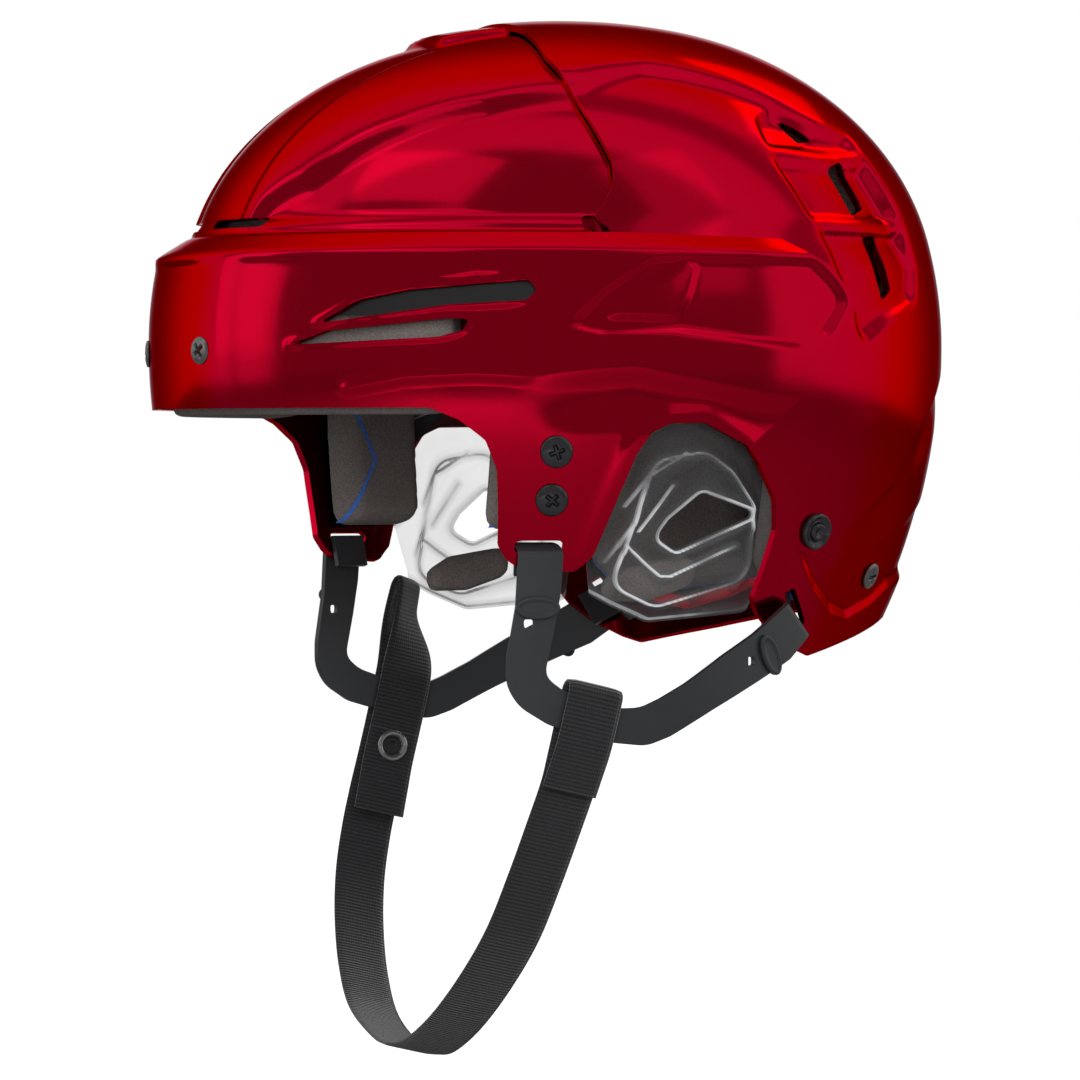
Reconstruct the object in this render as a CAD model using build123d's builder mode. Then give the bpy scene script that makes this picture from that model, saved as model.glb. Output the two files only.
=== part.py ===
from build123d import *
import os
from math import asin, atan2, cos, degrees, radians, sin, sqrt

# Ice hockey helmet, in millimetres. The origin is the middle of the head opening at the level of
# the brow edge. -Y is the front, +Z is up, and the wearer's left is +X.

os.makedirs("parts", exist_ok=True)

# Head form: every shell and pad is a layer at some depth under one smooth form. The form is turned
# about Z from four arcs, then stretched along Y. The front shell has its own, slightly longer stretch.
half_width = 105.0
half_length = 133.0
crown_rise = 110.7
widest_z = 20.0
centre_y = 8.0
brow_bulge = 7.0
side_bend = 170.0
shoulder_bend = 93.0
top_bend = 145.0
skirt_bend = 259.0
skirt_drop = 125.0

# Shells
shell_wall = 2.4
shell_gap = 1.8
crown_gap = 1.2
step_z = 55.0
step_end_y = -24.0
size_travel = 8.0
shell_corner = 2.0
cut_reach = 150.0
slot_height = 4.6
slot_clearance = 1.0

# Liner
foam_gap = 2.2
side_foam_depth = 9.4
side_foam = 12.0
brow_foam_depth = 1.5
brow_foam = 15.0
crown_foam = 13.0
rear_foam = 15.0
guard_foam = 7.0
layer_gap = 0.1
crown_pad_half_width = 52.0
rear_pad_half_width = 34.0
blue_wall = 1.2
stripe_width = 1.1
stripe_depth = 5.0

# Ear guards and vent inserts
arm_wall = 1.6
arm_gap = 0.2
guard_wall = 1.4
guard_gap = 0.4
guard_rise = 0.4
guard_corner = 3.0
insert_gap = 0.3
insert_wall = 1.2

# Hardware
screw_head_radius = 5.4
screw_head_height = 2.4
screw_edge = 0.7
head_seat = 0.1
screw_shank_radius = 2.3
recess_depth = 1.2
recess_arm = 5.4
recess_width = 1.3
nut_barrel_radius = 3.3
nut_flange_radius = 6.0
nut_flange_wall = 0.8
nut_clearance = 0.05
nut_seat_gap = 0.15
hole_clearance = 0.3
small_head_radius = 4.6
small_head_height = 1.6
brow_screw_spread = 28.5
brow_screw_z = 17.0
stretched_wall = 3.2
snap_ring_radius = 6.2
snap_ring_wall = 1.4
snap_ring_height = 2.4
snap_base_wall = 0.8
snap_post_radius = 2.3
snap_post_height = 3.6
snap_post_bore = 1.0
snap_neck_radius = 2.0
washer_radius = 5.0
washer_wall = 0.8

# Ear loops: a flat strip bent to one arc in plan
loop_bend = 127.5
loop_centre_x = -26.6
loop_centre_y = -6.5
strip_wall = 2.2
strip_gap = 0.7
slot_z = -46.8
tab_drop = 11.0
tab_width = 12.6
tab_grow = 1.3
rear_tab_reach = 12.0
rear_tab_width = 12.6
rear_arm_angle = 29.0
bridge_reach = 4.2
rear_bridge_reach = 4.8
button_length = 14.0
button_width = 7.0
button_height = 1.6
stud_radius = 1.8
loop_corner = 2.5
peg_hole = 2.2

# Chin strap
web_width = 18.5
web_wall = 1.6
strap_drop = 118.8
bar_y = -24.1
bar_z = -101.1
far_bar_y = -16.0
far_bar_z = -103.3
strap_tilt = 13.5
bar_half_height = 6.8
wrap_gap = 1.6
wrap_end = 13.0
tail_drop = 25.0
fold_rise = 38.0
fold_spread = 4.0
flap_start = 12.0
flap_drop = 30.0
flap_lean = 2.8
cap_radius = 5.6
cap_height = 1.6
cap_drop = 17.7
bend_radius = 2.0
strap_bend = 20.0
socket_radius = 4.2
socket_height = 3.4
stud_base_wall = 1.6
knob_radius = 1.6
knob_height = 3.2
socket_bore_radius = 3.2

# Side-view outlines, front to back and up, in shares of half_length and crown_rise.
band_shares = [
    (-1.128, -0.018), (-0.564, -0.018), (-0.496, -0.054), (-0.436, -0.113), (-0.406, -0.199),
    (-0.395, -0.343), (-0.391, -0.416), (-0.368, -0.461), (-0.338, -0.483), (-0.203, -0.497),
    (-0.165, -0.452), (-0.118, -0.289), (-0.075, -0.154), (-0.038, -0.09), (0.011, -0.063),
    (0.102, -0.061), (0.226, -0.131), (0.286, -0.081), (0.383, 0.023), (0.477, 0.158),
    (0.564, 0.307), (0.451, 0.416), (0.336, 0.495), (0.109, 0.5), (-0.18, 0.505),
    (-0.18, 0.545), (0.03, 0.545), (0.03, 1.355), (-1.128, 1.355),
]
rear_shares = [
    (-0.15, 1.355), (-0.15, 1.147), (-0.165, 1.039), (-0.135, 0.921), (-0.105, 0.795),
    (-0.086, 0.714), (-0.09, 0.65), (-0.128, 0.574), (-0.158, 0.541), (-0.1165, 0.506),
    (-0.1165, 0.361), (0.02, 0.361), (0.02, -0.03), (0.113, -0.027), (0.218, -0.099), (0.276, -0.184), (0.331, -0.289),
    (0.341, -0.379), (0.316, -0.51), (0.297, -0.587), (0.32, -0.632), (0.376, -0.691),
    (0.451, -0.741), (0.496, -0.761), (0.677, -0.709), (0.827, -0.659), (1.128, -0.623),
    (1.128, 1.355),
]
upper_vent_shares = [
    (-0.774, 0.235), (-0.714, 0.294), (-0.605, 0.323), (-0.338, 0.352), (-0.318, 0.323), (-0.346, 0.293),
    (-0.522, 0.28),
]
lower_vent_shares = [(-0.817, 0.172), (-0.797, 0.201), (-0.523, 0.24), (-0.474, 0.238), (-0.49, 0.205), (-0.544, 0.186)]
rear_vent_shares = [
    [(0.406, 0.858), (0.47, 0.831), (0.534, 0.79), (0.474, 0.784)],
    [(0.546, 0.707), (0.597, 0.732), (0.662, 0.591), (0.609, 0.565)],
    [(0.628, 0.501), (0.678, 0.508), (0.718, 0.343), (0.678, 0.309)],
]
insert_shares = [(-0.8, 0.25), (-0.72, 0.33), (-0.45, 0.385), (-0.29, 0.375), (-0.29, 0.27), (-0.52, 0.255)]
front_slot_shares = [(0.07, 0.33), (0.515, 0.55)]
guard_shares = [
    (-0.1406, -0.05), (-0.1406, -0.348), (-0.192, -0.375), (-0.18, -0.515), (-0.06, -0.596),
    (0.023, -0.65), (0.301, -0.623), (0.368, -0.524), (0.376, -0.271), (0.316, -0.126),
    (0.211, -0.009), (0.0, 0.018),
]
arm_shares = [
    (-0.3, -0.06), (-0.3, -0.36), (-0.16, -0.36), (-0.1, -0.13), (0.0, -0.03), (0.15, -0.02),
    (0.2, 0.0), (0.2, 0.12), (-0.12, 0.12),
]
plateau_shares = [
    (-0.015, -0.167), (0.128, -0.14), (0.203, -0.199), (0.271, -0.298), (0.278, -0.524),
    (0.023, -0.61), (-0.102, -0.542), (-0.071, -0.416),
]
ear_hole_shares = [
    (0.041, -0.346), (0.123, -0.266), (0.259, -0.321), (0.262, -0.34), (0.069, -0.438),
    (0.011, -0.397),
]
brow_pad_shares = [(-1.053, -0.04), (-0.5, -0.04), (-0.5, 0.379), (-1.053, 0.379)]
temple_pad_shares = [(-0.383, 0.361), (-0.383, -0.379), (-0.15, -0.379), (-0.14, 0.0), (-0.14, 0.361)]
stripe_shares = [(-0.329, 0.02), (-0.262, -0.167), (-0.365, -0.379)]
front_crown_pad_shares = [(-0.8, 0.42), (-0.06, 0.42), (-0.06, 1.3), (-0.8, 1.3)]
rear_crown_pad_shares = [(0.1, 0.45), (0.83, 0.45), (0.83, 1.3), (0.1, 1.3)]
guard_pad_shares = [(-0.09, -0.6), (0.11, -0.6), (0.11, -0.47), (-0.09, -0.47)]
rear_side_pad_shares = [
    (0.391, 0.27), (0.391, -0.271), (0.385, -0.5), (0.451, -0.6), (0.6, -0.585),
    (0.78, -0.542), (0.78, 0.27),
]
occipital_pad_shares = [(0.6, -0.58), (1.2, -0.58), (1.2, 0.4), (0.6, 0.4)]
loop_shares = [
    (-0.349, -0.41), (-0.357, -0.596), (-0.378, -0.75), (-0.378, -0.828), (-0.347, -0.889),
    (-0.277, -0.942), (-0.12, -0.995), (-0.034, -1.005), (0.03, -0.979), (0.153, -0.903),
    (0.398, -0.763), (0.49, -0.672), (0.402, -0.59), (0.282, -0.683), (0.186, -0.744),
    (0.077, -0.824), (0.002, -0.869), (-0.047, -0.893), (-0.112, -0.894), (-0.246, -0.839),
    (-0.289, -0.799), (-0.265, -0.661), (-0.25, -0.555), (-0.241, -0.41),
]
peg_hole_shares = [(-0.326, -0.646), (0.269, -0.764)]
button_shares = [(-0.303, -0.6), (0.322, -0.748)]

# Places on the side of the shell, front to back and up, in the same shares.
side_screw_shares = [(-0.27, -0.146), (-0.274, -0.286)]
rear_screw_share = (0.708, -0.525)
snap_share = (0.464, -0.381)
rear_slot_share = (0.429, -0.614)

# The hanging line of the chin strap: shares of the span between the ear loops, and of strap_drop.
strap_shares = [
    (0.015, 0.2525), (0.08, 0.522), (0.21, 0.816), (0.374, 0.976), (0.55, 1.027), (0.773, 0.926),
    (0.938, 0.724), (1.033, 0.438),
]


def placed(shares):
    """Shares of half_length and crown_rise turned into places in the side view."""
    return [(half_length * y, crown_rise * z) for y, z in shares]


# The two stretches of the turned form: the centre along Y, and the factor along Y.
head_form = (centre_y, half_length / half_width)
brow_form = (centre_y - brow_bulge / 2, (half_length + brow_bulge / 2) / half_width)

# Centres of the arcs of the turned form, and the directions where one arc meets the next
side_centre = Vector(half_width - side_bend, widest_z)
top_centre = Vector(0, widest_z + crown_rise - top_bend)
skirt_centre = Vector(half_width - skirt_bend, widest_z)
between = top_centre - side_centre
along = ((side_bend - shoulder_bend) ** 2 - (top_bend - shoulder_bend) ** 2 + between.length ** 2)
along = along / (2 * between.length)
across = sqrt((side_bend - shoulder_bend) ** 2 - along ** 2)
way = between.normalized()
shoulder_centre = side_centre + way * along + Vector(-way.Y, way.X) * across
if (shoulder_centre - side_centre).Y < 0:
    shoulder_centre = side_centre + way * along - Vector(-way.Y, way.X) * across
skirt_angle = degrees(asin(skirt_drop / skirt_bend))


def heading(start, end):
    """The direction from start to end, in degrees."""
    return degrees(atan2(end.Y - start.Y, end.X - start.X))


low_turn = heading(side_centre, shoulder_centre)
high_turn = heading(top_centre, shoulder_centre)


def arc_between(centre, radius, start, end):
    """An arc about a centre from one direction to another."""
    return CenterArc((centre.X, centre.Y), radius, start_angle=start, arc_size=end - start)


def side_turn(grow, z):
    """The direction on the side arc where the grown form reaches height z."""
    return degrees(asin((z - widest_z) / (side_bend + grow)))


def turned_ring(outer, inner):
    """A full turned layer between two growths of the form."""
    with BuildPart() as form:
        with BuildSketch(Plane.XZ):
            with BuildLine():
                for grow in (outer, inner):
                    low = arc_between(skirt_centre, skirt_bend + grow, -skirt_angle, 0)
                    arc_between(side_centre, side_bend + grow, 0, low_turn)
                    arc_between(shoulder_centre, shoulder_bend + grow, low_turn, high_turn)
                    top = arc_between(top_centre, top_bend + grow, high_turn, 90)
                    if grow == outer:
                        foot, crown = low @ 0, top @ 1
                Line(foot, low @ 0)
                Line(crown, top @ 1)
            make_face()
        revolve(axis=Axis.Z)
    return form.part


def stepped_ring():
    """The front shell's turned form: a band below, a step in, and a crown panel above."""
    with BuildPart() as form:
        with BuildSketch(Plane.XZ):
            with BuildLine():
                ends = []
                for band, panel, z in ((band_outer, panel_outer, step_z),
                                       (shell_gap, panel_inner, step_z - shell_wall)):
                    low = arc_between(skirt_centre, skirt_bend + band, -skirt_angle, 0)
                    rim = arc_between(side_centre, side_bend + band, 0, side_turn(band, z))
                    rise = arc_between(side_centre, side_bend + panel, side_turn(panel, z), low_turn)
                    arc_between(shoulder_centre, shoulder_bend + panel, low_turn, high_turn)
                    top = arc_between(top_centre, top_bend + panel, high_turn, 90)
                    Line(rim @ 1, rise @ 0)
                    ends.append((low @ 0, top @ 1))
                Line(ends[0][0], ends[1][0])
                Line(ends[0][1], ends[1][1])
            make_face()
        revolve(axis=Axis.Z)
    return form.part


def side_prism(points, form, corner=0, both=True):
    """A prism along X of a side-view outline, on the left side or on both, fitting the turned form."""
    centre, factor = form
    squeezed = [((y - centre) / factor, z) for y, z in points]
    with BuildPart() as prism:
        with BuildSketch(Plane.YZ):
            with BuildLine():
                if corner:
                    FilletPolyline(*squeezed, radius=corner, close=True)
                else:
                    Polyline(*squeezed, close=True)
            make_face()
        extrude(amount=cut_reach, both=both)
    return prism.part


def box_between(x_range, y_range, z_range, form):
    """A box between two places on each axis, fitting the turned form."""
    centre, factor = form
    with BuildPart() as box:
        with BuildSketch(Plane.XY.offset(z_range[0])):
            with Locations(((x_range[0] + x_range[1]) / 2, (sum(y_range) / 2 - centre) / factor)):
                Rectangle(x_range[1] - x_range[0], (y_range[1] - y_range[0]) / factor)
        extrude(amount=z_range[1] - z_range[0])
    return box.part


def cylinders(planes, radius, depth, form):
    """Round cutters through both sides, one at each plane, fitting the turned form."""
    centre, factor = form
    with BuildPart() as holes:
        for plane in planes:
            with BuildSketch(plane.offset(-depth)):
                Circle(radius)
            extrude(amount=depth * 2)
        mirror(about=Plane.YZ)
    return Pos(0, -centre / factor, 0) * scale(holes.part, by=(1, 1 / factor, 1), mode=Mode.PRIVATE)


def stretched(turned, form):
    """A turned piece stretched along Y to its real length."""
    centre, factor = form
    with BuildPart() as whole:
        add(Pos(0, centre, 0) * scale(turned, by=(1, factor, 1), mode=Mode.PRIVATE))
    return whole


def layer(outer, inner, shares, form=head_form, corner=0, both=True, cuts=(), kept=None):
    """A piece of one layer of the form, trimmed to a side-view outline and with openings cut in it."""
    with BuildPart() as piece:
        add(turned_ring(outer, inner))
        add(side_prism(placed(shares), form, corner, both), mode=Mode.INTERSECT)
        if kept:
            add(kept, mode=Mode.INTERSECT)
        for cut in cuts:
            add(cut, mode=Mode.SUBTRACT)
    return stretched(piece.part, form)


def skin_plane(y, z, grow, form=head_form):
    """A plane on the left of the grown form, facing out, for heights below widest_z."""
    centre, factor = form
    drop = sqrt((skirt_bend + grow) ** 2 - (z - widest_z) ** 2)
    radius = half_width - skirt_bend + drop
    short_y = (y - centre) / factor
    x = sqrt(radius ** 2 - short_y ** 2)
    normal = Vector(x / radius, short_y / radius / factor, (z - widest_z) / drop)
    return Plane(origin=(x, y, z), x_dir=Vector(0, 0, 1).cross(normal), z_dir=normal)


def brow_plane(x, z, grow):
    """A plane on the left of the brow, facing forward, for heights below widest_z."""
    centre, factor = brow_form
    drop = sqrt((skirt_bend + grow) ** 2 - (z - widest_z) ** 2)
    radius = half_width - skirt_bend + drop
    return skin_plane(centre - factor * sqrt(radius ** 2 - x ** 2), z, grow, brow_form)


def write(sub_part, name):
    """Label a finished piece and write it as one node."""
    sub_part.part.label = name
    export_step(sub_part.part, f"parts/{name}.step")


def write_pair(left, name):
    """Write a left piece and its mirror image on the right."""
    write(left, f"{name}_left")
    with BuildPart() as right:
        add(left.part)
        mirror(about=Plane.YZ, mode=Mode.REPLACE)
    write(right, f"{name}_right")


def write_both(left, name):
    """Write a left piece and its mirror image together as one node."""
    with BuildPart() as both_sides:
        add(left.part)
        mirror(about=Plane.YZ)
    write(both_sides, name)


# Layers of the form
band_outer = shell_gap + shell_wall
panel_outer = -crown_gap - shell_wall
panel_inner = panel_outer - shell_wall
arm_outer = -shell_wall - arm_gap
arm_inner = arm_outer - arm_wall
guard_outer = arm_inner - guard_gap
guard_inner = guard_outer - guard_wall
rear_liner = -shell_wall - foam_gap

# Where the hardware goes
side_screw_planes = [skin_plane(y, z, band_outer, brow_form) for y, z in placed(side_screw_shares)]
brow_screw_plane = brow_plane(brow_screw_spread, brow_screw_z, band_outer)
rear_screw_plane = skin_plane(*placed([rear_screw_share])[0], 0)
snap_plane = skin_plane(*placed([snap_share])[0], 0)
nut_hole_radius = nut_barrel_radius + hole_clearance
side_stack = band_outer - guard_inner


def adjusting_slots(grow):
    """Slots along Y, at one layer, that let the rear half slide past the side screws."""
    with BuildPart() as slots:
        for plane in side_screw_planes:
            at = plane.origin - plane.z_dir * (band_outer - grow)
            ends = (at.Y - nut_hole_radius - hole_clearance, at.Y + size_travel + nut_hole_radius + hole_clearance)
            levels = (at.Z - nut_hole_radius, at.Z + nut_hole_radius)
            corners = [(ends[0], levels[0]), (ends[1], levels[0]), (ends[1], levels[1]), (ends[0], levels[1])]
            add(side_prism(corners, head_form, guard_corner - slot_clearance))
    return slots.part


def strip_slot(centre, angle, length, height):
    """A slot cutter for one end of an ear loop: its long side stands at the given angle to the level."""
    corners = [(-length / 2, -height / 2), (length / 2, -height / 2), (length / 2, height / 2),
               (-length / 2, height / 2)]
    turn = radians(angle)
    return [(centre[0] + u * cos(turn) - v * sin(turn), centre[1] + u * sin(turn) + v * cos(turn))
            for u, v in corners]


front_slot_y = half_length * (loop_shares[0][0] + loop_shares[-1][0]) / 2
rear_slot_at = placed([rear_slot_share])[0]

# Front shell: the brow band with its side wings and ear lobes, and the crown panel inside it.
slot_spread, slot_level = front_slot_shares
with BuildPart() as front_form:
    add(stepped_ring())
    with BuildPart(mode=Mode.PRIVATE) as behind_step:
        add(turned_ring(shell_gap, panel_inner - shell_wall))
        add(box_between((-cut_reach, cut_reach), (step_end_y, cut_reach),
                        (step_z - 2 * shell_wall, crown_rise * band_shares[-3][1]), brow_form), mode=Mode.INTERSECT)
    add(behind_step.part, mode=Mode.SUBTRACT)
    add(side_prism(placed(band_shares), brow_form, shell_corner), mode=Mode.INTERSECT)
    for vent in (upper_vent_shares, lower_vent_shares):
        add(side_prism(placed(vent), brow_form), mode=Mode.SUBTRACT)
    for flip in (-1, 1):
        spread = sorted(flip * half_width * share for share in slot_spread)
        add(box_between(spread, (-cut_reach, -half_length / 2), [crown_rise * share for share in slot_level],
                        brow_form), mode=Mode.SUBTRACT)
    add(side_prism(strip_slot((front_slot_y, slot_z), 0, tab_width + 2 * slot_clearance, slot_height), brow_form),
        mode=Mode.SUBTRACT)
    add(cylinders([*side_screw_planes, brow_screw_plane], nut_hole_radius, side_stack, brow_form),
        mode=Mode.SUBTRACT, clean=False)
front_shell = stretched(front_form.part, brow_form)
write(front_shell, "front_shell")

# Rear shell: the crown and the back of the head, tucked under the wings and lapped over the crown panel.
rear_cuts = [side_prism(placed(vent), head_form) for vent in rear_vent_shares]
rear_cuts.append(side_prism(strip_slot(rear_slot_at, rear_arm_angle, slot_height, rear_tab_width
                                       + 2 * slot_clearance), head_form))
rear_cuts.append(cylinders([rear_screw_plane], nut_hole_radius, side_stack, head_form))
rear_cuts.append(cylinders([snap_plane], snap_neck_radius + hole_clearance, side_stack, head_form))
write(layer(0, -shell_wall, rear_shares, corner=shell_corner, cuts=rear_cuts), "rear_shell")

# Adjuster arms: slotted straps of plastic that tie the rear shell to the side screws, inside the lobes.
write_pair(layer(arm_outer, arm_inner, arm_shares, corner=shell_corner, both=False,
                 cuts=[adjusting_slots((arm_outer + arm_inner) / 2)]), "adjuster_arm")

# Ear guards: a clear flange and a raised cup over the ear, with the hearing hole in its floor.
plateau = placed(plateau_shares)
cup_middle = [sum(point[i] for point in plateau) / len(plateau) for i in (0, 1)]
cup_scale = 1 - guard_wall / min(abs(y - cup_middle[0]) + abs(z - cup_middle[1]) for y, z in plateau)
cup_inside = [(cup_middle[0] + cup_scale * (y - cup_middle[0]), cup_middle[1] + cup_scale * (z - cup_middle[1]))
              for y, z in plateau]
with BuildPart() as guard_form:
    add(turned_ring(guard_outer, guard_inner))
    add(side_prism(placed(guard_shares), head_form, guard_corner, both=False), mode=Mode.INTERSECT)
    with BuildPart(mode=Mode.PRIVATE) as cup:
        add(turned_ring(guard_rise, guard_inner))
        add(side_prism(plateau, head_form, guard_corner, both=False), mode=Mode.INTERSECT)
    add(cup.part)
    with BuildPart(mode=Mode.PRIVATE) as hollow:
        add(turned_ring(guard_rise - guard_wall, guard_inner - guard_wall))
        add(side_prism(cup_inside, head_form, guard_corner, both=False), mode=Mode.INTERSECT)
    add(hollow.part, mode=Mode.SUBTRACT)
    add(side_prism(placed(ear_hole_shares), head_form, guard_wall), mode=Mode.SUBTRACT)
write_pair(stretched(guard_form.part, head_form), "ear_guard")
write_pair(layer(guard_inner - layer_gap, guard_inner - guard_foam, guard_pad_shares, corner=shell_corner,
                 both=False), "guard_pad")

# Liner pads
full_height = (-cut_reach, cut_reach)
middle_box = box_between((-rear_pad_half_width, rear_pad_half_width), full_height, full_height, head_form)
side_box = box_between((rear_pad_half_width + foam_gap, cut_reach), full_height, full_height, head_form)
crown_box = box_between((-crown_pad_half_width, crown_pad_half_width), full_height, full_height, head_form)
write(layer(-brow_foam_depth, -brow_foam_depth - brow_foam, brow_pad_shares, brow_form), "brow_pad")
stripe = placed(stripe_shares)
stripe_band = [(y - stripe_width / 2, z) for y, z in stripe] + [(y + stripe_width / 2, z) for y, z in stripe[::-1]]
temple_inner = -side_foam_depth - side_foam
with BuildPart() as stripe_form:
    add(turned_ring(temple_inner + stripe_depth, temple_inner))
    add(side_prism(stripe_band, head_form, both=False), mode=Mode.INTERSECT)
write_pair(layer(-side_foam_depth, temple_inner, temple_pad_shares, corner=guard_corner, both=False,
                 cuts=[stripe_form.part]), "temple_pad")
write_pair(stretched(stripe_form.part, head_form), "temple_stripe")
crown_outer = panel_inner - layer_gap
write(layer(crown_outer, crown_outer - crown_foam, front_crown_pad_shares, kept=crown_box), "front_crown_pad")
write(layer(rear_liner, rear_liner - rear_foam, rear_crown_pad_shares, kept=crown_box), "rear_crown_pad")
write(layer(rear_liner, rear_liner - rear_foam, occipital_pad_shares, kept=middle_box), "occipital_pad")
blue_inner = rear_liner - blue_wall
write_pair(layer(rear_liner, blue_inner, rear_side_pad_shares, both=False, kept=side_box),
           "rear_blue_layer")
write_pair(layer(blue_inner - layer_gap, rear_liner - rear_foam, rear_side_pad_shares, both=False,
                 kept=side_box), "rear_side_pad")

# Vent inserts: black plates behind the upper front vents.
insert_outer = shell_gap - insert_gap
write_pair(layer(insert_outer, insert_outer - insert_wall, insert_shares, brow_form, both=False), "vent_insert")


def screw(head_radius, head_height, shank_length):
    """A truss-head screw along Z with a cross recess. The head sits just off the plane z = 0."""
    rise = head_height - screw_edge
    head_bend = (head_radius ** 2 + rise ** 2) / (2 * rise)
    spread = degrees(asin(head_radius / head_bend))
    with BuildPart() as body:
        with BuildSketch(Plane.XZ):
            with BuildLine():
                Polyline((0, head_height), (0, -shank_length), (screw_shank_radius, -shank_length),
                         (screw_shank_radius, head_seat), (head_radius, head_seat), (head_radius, screw_edge))
                CenterArc((0, head_height - head_bend), head_bend, start_angle=90 - spread, arc_size=spread)
            make_face()
        revolve(axis=Axis.Z)
        with BuildSketch(Plane.XY.offset(head_height - recess_depth)):
            Rectangle(recess_arm, recess_width)
            Rectangle(recess_width, recess_arm)
        extrude(amount=recess_depth, mode=Mode.SUBTRACT)
    return body.part


def t_nut(stack):
    """A nut with a flange, along Z, whose barrel goes out through holes and slots in the plastic."""
    low = -stack - nut_seat_gap
    with BuildPart() as body:
        with BuildSketch(Plane.XY.offset(low - nut_flange_wall)):
            Circle(nut_flange_radius)
        extrude(amount=nut_flange_wall)
        with BuildSketch(Plane.XY.offset(low)):
            Circle(nut_barrel_radius)
        extrude(amount=stack)
        with BuildSketch(Plane.XY.offset(low - nut_flange_wall)):
            Circle(screw_shank_radius + nut_clearance)
        extrude(amount=stack + nut_flange_wall, mode=Mode.SUBTRACT)
    return body.part


def at_planes(body, planes):
    """The same body standing on each plane."""
    with BuildPart() as bodies:
        for plane in planes:
            add(plane.location * body)
    return bodies


write_both(at_planes(screw(screw_head_radius, screw_head_height, side_stack), side_screw_planes), "side_screws")
write_both(at_planes(t_nut(side_stack), side_screw_planes), "side_t_nuts")
for plane, stack, name in ((brow_screw_plane, stretched_wall, "brow"), (rear_screw_plane, stretched_wall, "rear")):
    write_both(at_planes(screw(small_head_radius, small_head_height, stack), [plane]), f"{name}_screws")
    write_both(at_planes(t_nut(stack), [plane]), f"{name}_t_nuts")

# Strap snaps: a ring stud on each side of the rear shell for a face-cage strap, riveted to a washer inside.
with BuildPart() as snap_body:
    with BuildSketch(Plane.XY):
        Circle(snap_ring_radius)
    extrude(amount=snap_base_wall)
    with BuildSketch(Plane.XY.offset(snap_base_wall)):
        Circle(snap_ring_radius)
        Circle(snap_ring_radius - snap_ring_wall, mode=Mode.SUBTRACT)
    extrude(amount=snap_ring_height - snap_base_wall)
    with BuildSketch(Plane.XY.offset(snap_base_wall)):
        Circle(snap_post_radius)
    extrude(amount=snap_post_height)
    with BuildSketch(Plane.XY):
        Circle(snap_neck_radius)
    extrude(amount=-stretched_wall - washer_wall)
    with BuildSketch(Plane.XY.offset(snap_base_wall + snap_post_height)):
        Circle(snap_post_bore)
    extrude(amount=-snap_post_height, mode=Mode.SUBTRACT)
write_pair(at_planes(snap_body.part, [snap_plane]), "strap_snap")
with BuildPart() as washer:
    with BuildSketch(Plane.XY.offset(-stretched_wall)):
        Circle(washer_radius)
        Circle(snap_neck_radius + nut_clearance, mode=Mode.SUBTRACT)
    extrude(amount=-washer_wall)
write_both(at_planes(washer.part, [snap_plane]), "snap_washers")


# Ear loops: flat strips bent to one arc in plan, hooked through the front and rear shells.
def strip_plane(y, z, grow=0):
    """A plane on the strip's middle layer, or grown from it, facing out."""
    turn = asin((y - loop_centre_y) / loop_bend)
    normal = Vector(cos(turn), sin(turn), 0)
    origin = Vector(loop_centre_x, loop_centre_y, z) + normal * (loop_bend + grow)
    return Plane(origin=origin, x_dir=Vector(0, 0, 1).cross(normal), z_dir=normal)


rear_tab_plane = skin_plane(*rear_slot_at, -shell_wall - strip_gap)
front_tab_plane = skin_plane(front_slot_y, slot_z + strip_wall / 2 - tab_drop / 2, tab_grow, brow_form)
with BuildPart() as ear_loop:
    with BuildSketch(Plane.XY.offset(-cut_reach)):
        with Locations((loop_centre_x, loop_centre_y)):
            Circle(loop_bend + strip_wall / 2)
            Circle(loop_bend - strip_wall / 2, mode=Mode.SUBTRACT)
    extrude(amount=cut_reach)
    with BuildSketch(Plane.YZ):
        with BuildLine():
            FilletPolyline(*placed(loop_shares), radius=loop_corner, close=True)
        make_face()
    extrude(amount=cut_reach, mode=Mode.INTERSECT)
    for y, z in placed(peg_hole_shares):
        with BuildSketch(Plane.YZ):
            with Locations((y, z)):
                Rectangle(peg_hole, peg_hole)
        extrude(amount=cut_reach, mode=Mode.SUBTRACT)
    for y, z in placed(button_shares):
        with BuildSketch(strip_plane(y, z, -strip_wall)):
            Circle(stud_radius + hole_clearance)
        extrude(amount=strip_wall * 2, mode=Mode.SUBTRACT)
    with BuildSketch(front_tab_plane):
        Rectangle(tab_width, tab_drop)
    extrude(amount=-strip_wall)
    with BuildSketch(front_tab_plane.offset(-strip_wall)):
        with Locations((0, (tab_drop - strip_wall) / 2)):
            Rectangle(tab_width, strip_wall)
    extrude(amount=strip_wall + bridge_reach)
    with BuildSketch(rear_tab_plane):
        with Locations(Location((0, 0, 0), (0, 0, rear_arm_angle))):
            with Locations(((strip_wall - rear_tab_reach) / 2, 0)):
                Rectangle(rear_tab_reach, rear_tab_width)
    extrude(amount=-strip_wall)
    with BuildSketch(rear_tab_plane.offset(-strip_wall)):
        with Locations(Location((0, 0, 0), (0, 0, rear_arm_angle))):
            Rectangle(strip_wall, rear_tab_width)
    extrude(amount=strip_wall + rear_bridge_reach)
write_pair(ear_loop, "ear_loop")

for (y, z), angle, name in zip(placed(button_shares), (0, rear_arm_angle + 90), ("front", "rear")):
    with BuildPart() as button:
        with BuildSketch(strip_plane(y, z, strip_wall / 2)):
            SlotOverall(button_length, button_width, rotation=angle)
        extrude(amount=button_height)
        with BuildSketch(strip_plane(y, z, strip_wall / 2)):
            Circle(stud_radius)
        extrude(amount=-strip_wall)
    write_both(button, f"{name}_loop_buttons")

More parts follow.
